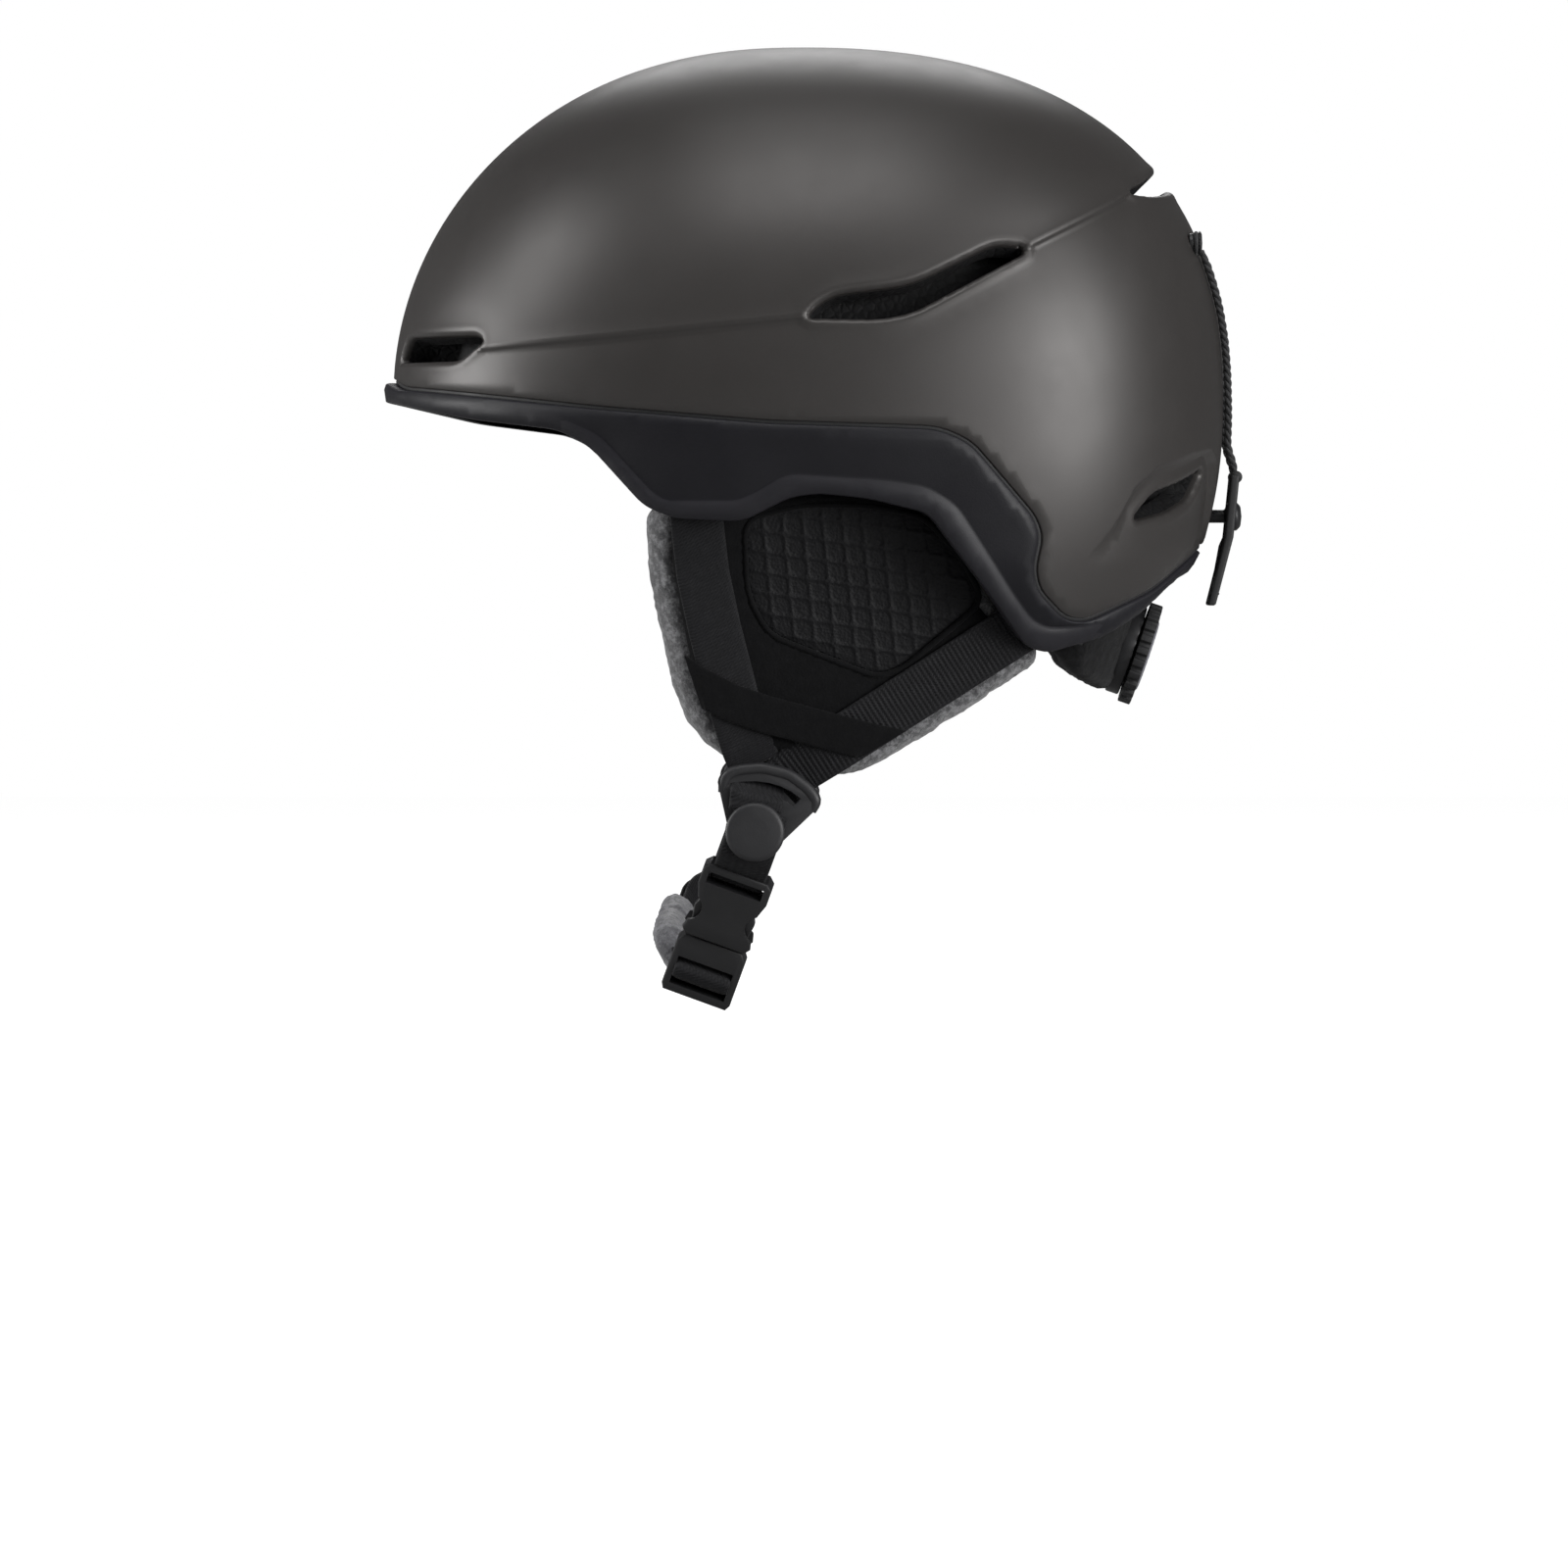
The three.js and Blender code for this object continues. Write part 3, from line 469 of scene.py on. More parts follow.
def braided_cord():
    s = Surface("braided_cord", (0.012, 0.012, 0.013), 0.75, Sheen_Weight=0.15, Sheen_Roughness=0.5)
    s.tint(s.ranged(s.noise(700.0, 3.0), 0.45, 0.75, 0.0, 0.6), (0.026, 0.026, 0.028))
    s.bump(s.cells(1900.0), 0.1, 0.9).bump(s.noise(3000.0), 0.04)
    return s.done()


PAINT, FOAM = shell_paint(), bead_foam()
TRIM = trim_plastic("trim_plastic", (0.0052, 0.0050, 0.0074))
# The lighter copy of the trim plastic below is a painted highlight, used on the trim's chamfer strip and on
# its turned-in edge walls.
TRIM_PAINTED_HIGHLIGHT = trim_plastic("trim_plastic_painted_highlight", (0.0125, 0.0120, 0.0152))
BLACK_FLEECE = fleece("black_fleece", (0.0040, 0.0040, 0.0044), (0.0085, 0.0085, 0.0092), 0.4, 0.05)
GREY_FLEECE = fleece("grey_fleece", (0.070, 0.070, 0.073), (0.215, 0.215, 0.222), 0.9)
PAD_FLEECE = fleece("chin_fleece", (0.120, 0.120, 0.130), (0.215, 0.215, 0.230), 0.7)
KNIT, MESH, WEBBING = knit_fabric(), mesh_fabric(), woven_webbing()
BLACK = moulded("black_plastic", (0.0125, 0.0125, 0.0135), 0.40, (0.017, 0.017, 0.018))
SATIN = moulded("satin_plastic", (0.016, 0.016, 0.0175), 0.48, (0.021, 0.021, 0.023), 0.022)
GREY = moulded("grey_plastic", (0.170, 0.168, 0.190), 0.44, (0.185, 0.183, 0.205))
RUBBER = moulded("rubber", (0.0140, 0.0140, 0.0150), 0.62, (0.019, 0.019, 0.020), 0.03)
CORD = braided_cord()


# ---- the outer shell and the lower trim -----------------------------------------------------------
GROOVE_LINE = [(-160, 49), (-138.5, 47), (-133.8, 43.4), (-69, 36.3), (-11.9, 31.5), (28, 30.2), (44, 29.6),
               (54.7, 25.1), (75.9, 0.5), (78.3, -6), (76, -17), (77.6, -24), (86.5, -33.2), (93.7, -34),
               (116.1, -24), (132.3, -10.7), (160, 12)]
TRIM_LOWER_LINE = [(-160, 42.5), (-137.3, 39.5), (-110.6, 33.3), (-80.5, 29.5), (-71.6, 24.4), (-53, 4),
                   (-43, 0), (-20.5, -1), (-4.6, 7.1), (5, 8.3), (21.3, 6.6), (41.4, 1.7), (60.4, -22.9),
                   (74.8, -43), (82, -45.5), (100.5, -38.5), (113.9, -31.3), (127.3, -20), (160, -12)]
CHAMFER_LINE = [(-80.5, 33.5), (-68.3, 27.8), (-50.3, 8.3), (-45.9, 5.5), (-22.4, 5.5), (-16.8, 7.7),
                (-5.7, 14.4), (26.4, 12.2), (40.3, 10), (50.3, 3.9), (69.3, -25.1), (75.9, -34.1),
                (81.5, -36.9), (88.2, -36.3), (100, -34)]
SIDE_VENT = [(-1.5, 65), (8, 73.5), (35, 77), (62.6, 90.8), (72.5, 90), (73.5, 87), (55.9, 77.5),
             (36, 66.8), (25, 64.6)]
FRONT_VENT = [(30, 51.5), (74, 51.5), (82, 58.5), (79, 61), (37, 61)]
REAR_LOW_VENT = [(47, 5), (61, 0.5), (75, -2), (77, 0), (71, 8.5), (56, 12.5), (41, 16.5), (38.5, 14)]
REAR_VENT = [(-47, 107.2), (0, 110.4), (47, 107.2), (60, 107.8), (54, 111.0), (30, 115.6), (0, 117.2),
             (-30, 115.6), (-54, 111.0), (-60, 107.8)]
CREASE_LINE = [(-112, 55.8), (-106.1, 56.2), (-60, 60.2), (-2.3, 65.9), (20, 69), (40, 75), (60, 84.5),
               (73.7, 89.6), (92, 99), (101, 103.8), (106.5, 107.2), (110, 109.4)]
RECESS_ARCH = [(88, -14), (84, -4), (80, 10), (72, 17.5), (55, 21.5), (38, 23), (28, 19), (20, 8),
               (17, -4), (15, -14)]
VENT_OFFSETS = (0.45, 1.0, 1.8, 2.9, 4.4)


def offset_line(points, distance):
    """A flat line moved to its left by a distance, square to each stretch."""
    points = np.array(points, float)
    run = unit(np.gradient(points, axis=0))
    return points + distance * np.column_stack([-run[:, 1], run[:, 0]])


def edge_ring(line, offset, radius=5.0, step=1.8):
    smooth = rounded(line, radius, closed=False)
    return ring_from_half(to_form(on_side(offset_line(smooth, offset), step)))


def fill_points(spacing, lowest_polar):
    """Evenly spread points over the form from the crown down to a polar angle."""
    rows = [np.array([[0.0, 0.0, EQUATOR_Z + CROWN_RISE]])]
    mean_radius = 128.0
    count = int(lowest_polar * mean_radius / spacing)
    for i in range(1, count + 1):
        polar = lowest_polar * i / count
        around_count = max(6, int(2 * math.pi * mean_radius * math.sin(polar) / spacing))
        around = (np.arange(around_count) + 0.5 * (i % 2)) * 2 * math.pi / around_count
        direction = np.stack([np.sin(polar) * np.cos(around), np.sin(polar) * np.sin(around),
                              np.full(around_count, math.cos(polar))], axis=1)
        rows.append(CENTRE + direction * form_radius(direction)[:, None])
    return np.vstack(rows)


def triangulated(loops, lines, keep, spacing, lowest_polar):
    """A triangle sheet on the form: loops and lines are kept as edges, keep(points) picks the triangles."""
    points = fill_points(spacing, lowest_polar)
    drawn = np.vstack(loops + lines)
    tree = kdtree.KDTree(len(drawn))
    for i, p in enumerate(drawn):
        tree.insert(p, i)
    tree.balance()
    clear = np.array([tree.find(p)[2] > 0.62 * spacing for p in points])
    flat = [to_chart(points[clear])]
    edges, start = [], int(clear.sum())
    for group, closed in ((loops, True), (lines, False)):
        for line in group:
            count = len(line)
            flat.append(to_chart(line))
            edges += [(start + k, start + (k + 1) % count) for k in range(count if closed else count - 1)]
            start += count
    flat = np.vstack(flat)
    result = delaunay_2d_cdt([Vector(p) for p in flat], edges, [], 0, 1e-6)
    vertices = from_chart(np.array([tuple(v) for v in result[0]]))
    faces = np.array([tuple(f) for f in result[2] if len(f) == 3])
    centres = vertices[faces].mean(axis=1)
    faces = faces[keep(centres)]
    normal = np.cross(vertices[faces[:, 1]] - vertices[faces[:, 0]],
                      vertices[faces[:, 2]] - vertices[faces[:, 0]])
    inward = np.sum(normal * (centres_of(vertices, faces) - CENTRE), axis=1) < 0
    faces[inward] = faces[inward][:, ::-1]
    return compacted(vertices, faces)


def centres_of(vertices, faces):
    return vertices[faces].mean(axis=1)


def compacted(vertices, faces):
    used = np.unique(faces)
    index = np.full(len(vertices), -1)
    index[used] = np.arange(len(used))
    return vertices[used], index[faces]


def boundary_runs(faces):
    """The open edges of a triangle sheet as closed runs, each in its faces' direction."""
    pairs = set()
    for a, b, c in faces:
        for pair in ((a, b), (b, c), (c, a)):
            pairs.add((int(pair[0]), int(pair[1])))
    follow = {a: b for a, b in pairs if (b, a) not in pairs}
    runs = []
    while follow:
        start, current = next(iter(follow.items()))
        run = [start]
        del follow[start]
        while current != start and current in follow:
            run.append(current)
            current = follow.pop(current)
        runs.append(run)
    return runs


def turned_in(vertices, run, profile):
    """Adds walls behind an open edge; profile rows are (sideways into the opening, depth) in mm."""
    edge = vertices[run]
    travel = unit(np.roll(edge, -1, axis=0) - np.roll(edge, 1, axis=0))
    outward = form_normals(edge)
    side = np.cross(travel, outward)
    for _ in range(3):
        side = unit(np.roll(side, 1, axis=0) + 2 * side + np.roll(side, -1, axis=0))
    rows = [edge + side * s - outward * d for s, d in profile]
    count, base = len(run), len(vertices)
    vertices = np.vstack([vertices] + rows)
    new_faces = []
    for r in range(len(profile)):
        for k in range(count):
            a, b = (run[k], run[(k + 1) % count]) if r == 0 else (
                base + (r - 1) * count + k, base + (r - 1) * count + (k + 1) % count)
            c, d = base + r * count + (k + 1) % count, base + r * count + k
            new_faces.append((b, a, d, c))
    return vertices, new_faces


def vent_loops():
    side = to_form(resampled(on_outline(SIDE_VENT, 0, 1, 7.0), 1.5, True))
    front = to_form(resampled(on_outline(FRONT_VENT, 1, -1, 4.0), 1.4, True))
    low = to_form(resampled(on_outline(REAR_LOW_VENT, 1, 1, 3.5), 1.3, True))
    notch = to_form(resampled(on_outline(REAR_VENT, 1, 1, 4.0), 1.3, True))
    return [side, flipped(side), front, flipped(front), low, flipped(low), notch]


def on_outline(outline, axis, sign, corner):
    """A closed outline drawn square to x (axis 0) or to y (axis 1), laid on the form."""
    dense = resampled(rounded(outline, corner), 0.5, True)
    zero = np.zeros(len(dense))
    points = np.column_stack([zero, dense] if axis == 0 else [dense[:, 0], zero, dense[:, 1]])
    return solve_on_form(points, axis, sign)


def signed_distance(points, line):
    """Distance to an open line laid on the form: positive on its left, seen from outside."""
    tree = kdtree.KDTree(len(line))
    for i, p in enumerate(line):
        tree.insert(p, i)
    tree.balance()
    found = [tree.find(p) for p in points]
    nearest = np.array([f[1] for f in found])
    run = unit(np.gradient(line, axis=0))[nearest]
    gap = points - line[nearest]
    side = np.sign(np.sum(np.cross(form_normals(line)[nearest], run) * gap, axis=1))
    return side * np.array([f[2] for f in found]), nearest / (len(line) - 1)


def crease_relief(points, crease):
    """A crest over a thin valley, strong towards the rear notch and faint at the front."""
    left = points * np.where(points[:, :1] < 0, [[-1, 1, 1]], [[1, 1, 1]])
    distance, along = signed_distance(left, crease)
    strength = 0.62 + 0.38 * smooth_step(along, 0.45, 0.85)
    strength *= smooth_step(left[:, 1], -124, -100) * (1 - smooth_step(left[:, 1], 106, 112))
    above = 0.55 * np.exp(-np.maximum(distance, 0) / 12) + 0.45 * np.exp(-((distance / 1.5) ** 2))
    ramp = -0.8 + 1.8 * smooth_step(distance, -1.5, 0.0)
    below = -0.8 * np.exp((distance + 1.5) / 9)
    return strength * np.where(distance > 0, above, np.where(distance > -1.5, ramp, below))


def recess_relief(points, arch_left, arch_flat):
    """The shallow arched hollow round each rear low vent, fading out downwards."""
    mirrored = points * np.where(points[:, :1] < 0, [[-1, 1, 1]], [[1, 1, 1]])
    inside = inside_polygon(mirrored[:, [0, 2]], arch_flat) & (points[:, 1] > 0)
    distance = distance_to(mirrored, arch_left)
    fade = smooth_step(points[:, 2], -16, 4)
    return -2.1 * np.where(inside, smooth_step(distance, 0, 1.8), 0) * fade


def lip_relief(distance):
    """A softly raised lip that rolls in at the edge of an opening."""
    raised = 0.28 * np.exp(-(((distance - 1.8) / 1.4) ** 2))
    rolled = -0.75 * np.maximum(0, 1 - distance / 0.9) ** 2
    return raised + rolled


def build_shell():
    groove = edge_ring(GROOVE_LINE, 1.0)
    vents = vent_loops()
    crease = to_form(on_side(CREASE_LINE, 1.6))
    below = -np.sign(signed_distance(moved_sideways(crease, 1.5, closed=False), crease)[0].mean())
    valley = moved_sideways(crease, 1.5 * below, closed=False)
    arch = on_end(RECESS_ARCH, 1, 2.0, closed=False)
    arch_flat = np.array(RECESS_ARCH, float)
    inner = moved_sideways(arch, 1.8, closed=False)
    inwards = 1 if inside_polygon(inner[:, [0, 2]], arch_flat)[5:-5].mean() > 0.5 else -1
    arch_beside = [moved_sideways(arch, d * inwards, closed=False) for d in (-0.9, 1.8)]
    rims = [moved_sideways(v, d) for v in vents for d in VENT_OFFSETS]
    edge_inner = [moved_sideways(groove, -d) for d in (0.5, 1.1, 2.2, 3.9, 5.8)]
    beside = [moved_sideways(crease, d * below, closed=False) for d in (-2.6, -1.3, 0.75, 3.0, 5.2)]
    lines = [crease, valley, arch, *beside, *arch_beside]
    lines += [flipped(line) for line in lines]
    groove_flat = to_chart(groove)
    vents_flat = [to_chart(v) for v in vents]

    def keep(centres):
        flat = to_chart(centres)
        wanted = inside_polygon(flat, groove_flat)
        for vent in vents_flat:
            wanted &= ~inside_polygon(flat, vent)
        return wanted

    vertices, faces = triangulated([groove, *vents, *rims, *edge_inner], lines, keep, 2.9, 2.15)
    normals = form_normals(vertices)
    to_vent = distance_to(vertices, np.vstack([resampled(v, 0.4, True) for v in vents]))
    to_edge = distance_to(vertices, resampled(groove, 0.4, True))
    relief = crease_relief(vertices, crease) * smooth_step(to_vent, -1, 4)
    relief += recess_relief(vertices, arch, arch_flat)
    relief += lip_relief(to_vent) + lip_relief(to_edge + 0.25) * 0.5
    runs = boundary_runs(faces)
    vertices = vertices + normals * relief[:, None]
    all_faces = [tuple(f) for f in faces]
    longest = max(runs, key=len)
    dark = [0] * len(faces)
    for run in runs:
        wall = [(0.35, 0.35), (0.5, 1.0), (0.5, 3.0)] if run is longest else [
            (0.3, 0.3), (0.55, 0.9), (0.7, 2.2), (0.9, 5.0), (1.3, 9.5)]
        vertices, walls = turned_in(vertices, run, wall)
        all_faces += walls
        dark += [int(k >= 3 * len(run)) for k in range(len(walls))]
    shell = make_mesh("outer_shell_look", vertices, all_faces)
    finish_piece(shell, "helmet", "shell_paint", PAINT, "outer_shell")
    shell.data.materials.append(FOAM)
    shell.data.polygons.foreach_set("material_index", dark)


def trim_base(points):
    return to_form(points, inset=-0.5, brim=2.6)


def build_trim():
    upper = edge_ring(GROOVE_LINE, -1.0)
    lower = edge_ring(TRIM_LOWER_LINE, 0.0, 4.0)
    chamfer = on_side(rounded(CHAMFER_LINE, 4.0, closed=False), 1.8)
    lower_flat, upper_flat = to_chart(lower), to_chart(upper)

    def keep(centres):
        flat = to_chart(centres)
        return inside_polygon(flat, lower_flat) & ~inside_polygon(flat, upper_flat)

    rims = [moved_sideways(upper, d) for d in (0.5, 1.1, 2.0, 3.6)]
    rims += [moved_sideways(lower, -d) for d in (0.5, 1.1, 2.0)]
    beside = moved_sideways(chamfer, 0.9, closed=False), moved_sideways(chamfer, -0.9, closed=False)
    folds = [chamfer, flipped(chamfer), *beside, *[flipped(line) for line in beside]]
    vertices, faces = triangulated([upper, lower, *rims], folds, keep, 2.7, 2.35)
    left = vertices * np.where(vertices[:, :1] < 0, [[-1, 1, 1]], [[1, 1, 1]])
    below, along = signed_distance(left, chamfer)
    fade = smooth_step(along, 0.0, 0.10) * (1 - smooth_step(along, 0.90, 1.0))
    to_upper = distance_to(vertices, resampled(upper, 0.4, True))
    lean = to_upper / np.maximum(to_upper + np.maximum(below, 0), 1.0)
    cut = fade * 3.2 * np.where(below > 0, lean, 1.0 - 0.25 * smooth_step(-below, 0, 1.2))
    to_lower = distance_to(vertices, resampled(lower, 0.4, True))
    relief = -cut - 2.2 * smooth_step(vertices[:, 1], 98, 128) * to_upper / (to_upper + to_lower)
    relief -= 0.6 * np.maximum(0, 1 - to_upper / 1.4) ** 2 + 0.8 * np.maximum(0, 1 - to_lower / 1.6) ** 2
    normals = form_normals(vertices)
    runs = boundary_runs(faces)
    placed = trim_base(vertices) + normals * relief[:, None]
    all_faces = [tuple(f) for f in faces]
    for run in runs:
        wall = [(0.3, 0.4), (0.5, 1.0), (0.6, 2.2), (0.6, 4.2)]
        placed, walls = turned_in(placed, run, wall)
        all_faces += walls
    trim = make_mesh("lower_trim_look", placed, all_faces)
    finish_piece(trim, "helmet", "trim_plastic", TRIM, "lower_trim")
    # The lighter trim copy is a painted highlight: it stands in for the chamfer's reflection of the bright
    # floor, and the turned-in edge walls take it too.
    trim.data.materials.append(TRIM_PAINTED_HIGHLIGHT)
    centres = centres_of(vertices, faces)
    on_left = centres * np.where(centres[:, :1] < 0, [[-1, 1, 1]], [[1, 1, 1]])
    gap, share = signed_distance(on_left, chamfer)
    painted_highlight_strip = (gap < 0) & (share > 0.01) & (share < 0.99)
    painted_highlight_walls = [1] * (len(all_faces) - len(faces))
    trim.data.polygons.foreach_set("material_index", list(painted_highlight_strip.astype(int)) + painted_highlight_walls)


def build_seal():
    """The dark joint that fills the bottom of the groove between shell and trim."""
    line = edge_ring(GROOVE_LINE, 0.0)
    seal = make_mesh("groove_seal", *tube(line - form_normals(line) * 2.3, 1.5, 10, closed=True))
    finish_piece(seal, "helmet", "trim_plastic", RUBBER, "lower_trim")


build_shell()
build_trim()


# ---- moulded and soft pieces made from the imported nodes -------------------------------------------
def copied(node, name):
    """A copy of a CAD node's mesh that the frame's own mesh doesn't share."""
    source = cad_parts[node]
    piece = bpy.data.objects.new(name, source.data.copy())
    bpy.context.scene.collection.objects.link(piece)
    piece.matrix_world = source.matrix_world.copy()
    return piece


def smooth_by_angle(mesh, angle):
    edit = bmesh.new()
    edit.from_mesh(mesh)
    for face in edit.faces:
        face.smooth = True
    for edge in edit.edges:
        edge.smooth = len(edge.link_faces) == 2 and edge.calc_face_angle(0.0) < angle
    edit.to_mesh(mesh)
    edit.free()


def cut_away(piece, low, high):
    """Takes a box given by two corners in mm out of a closed piece."""
    corners = [(x, y, z) for x in (low[0], high[0]) for y in (low[1], high[1]) for z in (low[2], high[2])]
    cutter = make_mesh("cutter", corners, [(0, 1, 3, 2), (4, 6, 7, 5), (0, 4, 5, 1), (2, 3, 7, 6),
                                           (0, 2, 6, 4), (1, 5, 7, 3)])
    cut = piece.modifiers.new("cut", "BOOLEAN")
    cut.operation, cut.solver, cut.object = "DIFFERENCE", "EXACT", cutter
    run_modifiers(piece)
    bpy.data.objects.remove(cutter)


def moulded_copy(node, body, slot, material, bevel=0.5, segments=3, angle=28, box=None):
    """A CAD part with every hard edge rounded as a moulding would be, less a box if one is given."""
    piece = copied(node, node + "_look")
    if box:
        cut_away(piece, *box)
    edit = bmesh.new()
    edit.from_mesh(piece.data)
    bmesh.ops.remove_doubles(edit, verts=edit.verts[:], dist=2e-6)
    bmesh.ops.dissolve_limit(edit, angle_limit=math.radians(0.6), verts=edit.verts[:], edges=edit.edges[:])
    sharp = [e for e in edit.edges if len(e.link_faces) == 2 and e.calc_face_angle(0.0) > math.radians(angle)]
    bmesh.ops.bevel(edit, geom=sharp, offset=bevel * MM, offset_type="OFFSET", segments=segments,
                    profile=0.5, affect="EDGES", clamp_overlap=True)
    edit.to_mesh(piece.data)
    edit.free()
    smooth_by_angle(piece.data, math.radians(40))
    return finish_piece(piece, body, slot, material, node)


def run_modifiers(piece):
    bpy.context.view_layer.update()
    evaluated = piece.evaluated_get(bpy.context.evaluated_depsgraph_get())
    mesh = bpy.data.meshes.new_from_object(evaluated)
    piece.modifiers.clear()
    piece.data = mesh
    return piece


def plush_offset(point, coarse, fine):
    """Tufts: how far a fleece surface stands out at a point in mm."""
    p = Vector(point)
    big = noise.fractal(p * 0.16, 0.8, 2.0, 3)
    small = noise.noise(p * 0.75)
    return coarse * big + fine * small


def displaced(piece, amount):
    """Moves each vertex along its normal by amount(point in mm), returning the same piece."""
    mesh = piece.data
    normals = [v.normal.copy() for v in mesh.vertices]
    for vertex, normal in zip(mesh.vertices, normals):
        vertex.co += normal * amount(vertex.co / MM) * MM
    mesh.update()
    return piece


def soft_copy(node, body, slot, material, voxel=2.6, rounds=10, coarse=0.5, fine=0.3, seams=None):
    """A pad with its CAD edges melted into a plump cushion, then given a pile."""
    piece = copied(node, node + "_look")
    remesh = piece.modifiers.new("remesh", "REMESH")
    remesh.mode = "VOXEL"
    remesh.voxel_size = voxel * MM
    melt = piece.modifiers.new("melt", "SMOOTH")
    melt.factor, melt.iterations = 0.6, rounds
    divide = piece.modifiers.new("divide", "SUBSURF")
    divide.levels = divide.render_levels = 1
    run_modifiers(piece)
    displaced(piece, lambda p: plush_offset(p, coarse, fine) - (seams(p) if seams else 0.0))
    piece.data.polygons.foreach_set("use_smooth", [True] * len(piece.data.polygons))
    finish_piece(piece, body, slot, material, node)
    return piece


def seam_grid(pitch, depth, width=1.6):
    """Stitched grooves every pitch mm across a pad's width."""
    def seams(p):
        near = abs((p.x + pitch / 2) % pitch - pitch / 2)
        return depth * math.exp(-((near / width) ** 2))
    return seams


for name in ("brow_pad", "crown_pad"):
    soft_copy(name, "helmet", "black_fleece", BLACK_FLEECE, 3.0, 8, 0.6, 0.35, seam_grid(34, 1.6))
for side in ("left", "right"):
    for name in ("side_pad_", "rear_pad_"):
        soft_copy(name + side, "helmet", "black_fleece", BLACK_FLEECE, 3.0, 8, 0.6, 0.35)


# ---- flat outlines and strips ---------------------------------------------------------------------
def flat_sheet(outline, spacing, holes=()):
    """Triangles filling a flat outline; returns points and faces."""
    low, high = outline.min(axis=0), outline.max(axis=0)
    rows = np.arange(low[1], high[1], spacing * 0.87)
    points = [np.column_stack([np.arange(low[0] + (k % 2) * spacing / 2, high[0], spacing),
                               np.full(len(np.arange(low[0] + (k % 2) * spacing / 2, high[0], spacing)), r)])
              for k, r in enumerate(rows)]
    points = np.vstack(points)
    drawn = np.vstack([outline, *holes])
    keep = inside_polygon(points, outline) & (flat_distance(points, drawn) > 0.6 * spacing)
    for hole in holes:
        keep &= ~inside_polygon(points, hole)
    points = points[keep]
    edges, start, flat = [], len(points), [points]
    for loop in (outline, *holes):
        edges += [(start + k, start + (k + 1) % len(loop)) for k in range(len(loop))]
        flat.append(loop)
        start += len(loop)
    flat = np.vstack(flat)
    result = delaunay_2d_cdt([Vector(p) for p in flat], edges, [], 0, 1e-6)
    vertices = np.array([tuple(v) for v in result[0]])
    faces = np.array([tuple(f) for f in result[2] if len(f) == 3])
    middle = vertices[faces].mean(axis=1)
    wanted = inside_polygon(middle, outline)
    for hole in holes:
        wanted &= ~inside_polygon(middle, hole)
    return compacted(vertices, faces[wanted])


def flat_distance(points, drawn):
    tree = kdtree.KDTree(len(drawn))
    for i, p in enumerate(drawn):
        tree.insert((p[0], p[1], 0), i)
    tree.balance()
    return np.array([tree.find((p[0], p[1], 0))[2] for p in points])


def cushion(points, faces, upper, lower):
    """Closes two height sheets over the same flat triangles into one body."""
    count = len(points)
    vertices = np.vstack([np.column_stack([upper, points]), np.column_stack([lower, points])])
    all_faces = [tuple(f) for f in faces] + [(f[0] + count, f[2] + count, f[1] + count) for f in faces]
    for run in boundary_runs(faces):
        for k, a in enumerate(run):
            b = run[(k + 1) % len(run)]
            all_faces.append((b, a, a + count, b + count))
    return vertices, all_faces


class Space:
    """A flat working frame in the helmet's space: points are (outward, along, up) in mm."""

    def __init__(self, origin, outward, up, mirrored=False):
        outward, up = unit(np.array(outward, float)), unit(np.array(up, float))
        self.origin = np.array(origin, float)
        self.basis = np.stack([outward, np.cross(up, outward), up])
        self.flip = np.array([-1.0, 1.0, 1.0]) if mirrored else np.ones(3)
        self.mirrored = mirrored

    def place(self, local):
        return (self.origin + np.array(local, float) @ self.basis) * self.flip

    def mesh(self, name, local, faces):
        faces = [tuple(f)[::-1] for f in faces] if self.mirrored else faces
        return make_mesh(name, self.place(local), faces)


def ear_space(mirrored):
    return Space((97.6, 0, 0), (1, 0.123, -0.14), (0.14, 0, 1), mirrored)


def strip(path, sides, ups, width, thickness, rib=0.0, pitch=1.6, around=22):
    """A webbing strip along a path: sides run across it and ups square to its face."""
    path, sides, ups = (np.array(v, float) for v in (path, sides, ups))
    angle = np.arange(around) * 2 * math.pi / around
    across = np.sign(np.cos(angle)) * np.abs(np.cos(angle)) ** 0.32
    through = np.sign(np.sin(angle)) * np.abs(np.sin(angle)) ** 0.75
    lengths = np.concatenate([[0], np.cumsum(np.linalg.norm(np.diff(path, axis=0), axis=1))])
    ribbing = rib * np.cos(lengths * 2 * math.pi / pitch)
    wide = np.full(len(path), width)
    rows = []
    for k in range(len(path)):
        rise = thickness / 2 + ribbing[k] * np.abs(np.sin(angle))
        rows.append(path[k] + np.outer(across * wide[k] / 2, sides[k]) + np.outer(through * rise, ups[k]))
    vertices = np.vstack(rows)
    faces = grid_faces(len(path), around, wrap_columns=True)
    faces.append(tuple(range(around))[::-1])
    faces.append(tuple(len(vertices) - around + k for k in range(around)))
    return vertices, faces


def tube(path, radius, around=12, closed=False):
    """A round tube along a path; radius is one number or one per point."""
    path = np.array(path, float)
    step = np.roll(path, -1, axis=0) - np.roll(path, 1, axis=0) if closed else np.gradient(path, axis=0)
    run = unit(step)
    radius = np.broadcast_to(np.array(radius, float), (len(path),))
    side = np.cross(run[0], [0.31, 0.52, 0.79])
    rows = []
    angle = np.arange(around) * 2 * math.pi / around
    for k in range(len(path)):
        side = unit(side - run[k] * np.dot(side, run[k]))
        other = np.cross(run[k], side)
        rows.append(path[k] + radius[k] * (np.outer(np.cos(angle), side) + np.outer(np.sin(angle), other)))
    vertices = np.vstack(rows)
    faces = grid_faces(len(path), around, wrap_rows=closed, wrap_columns=True)
    if not closed:
        faces.append(tuple(range(around))[::-1])
        faces.append(tuple(len(vertices) - around + k for k in range(around)))
    return vertices, faces


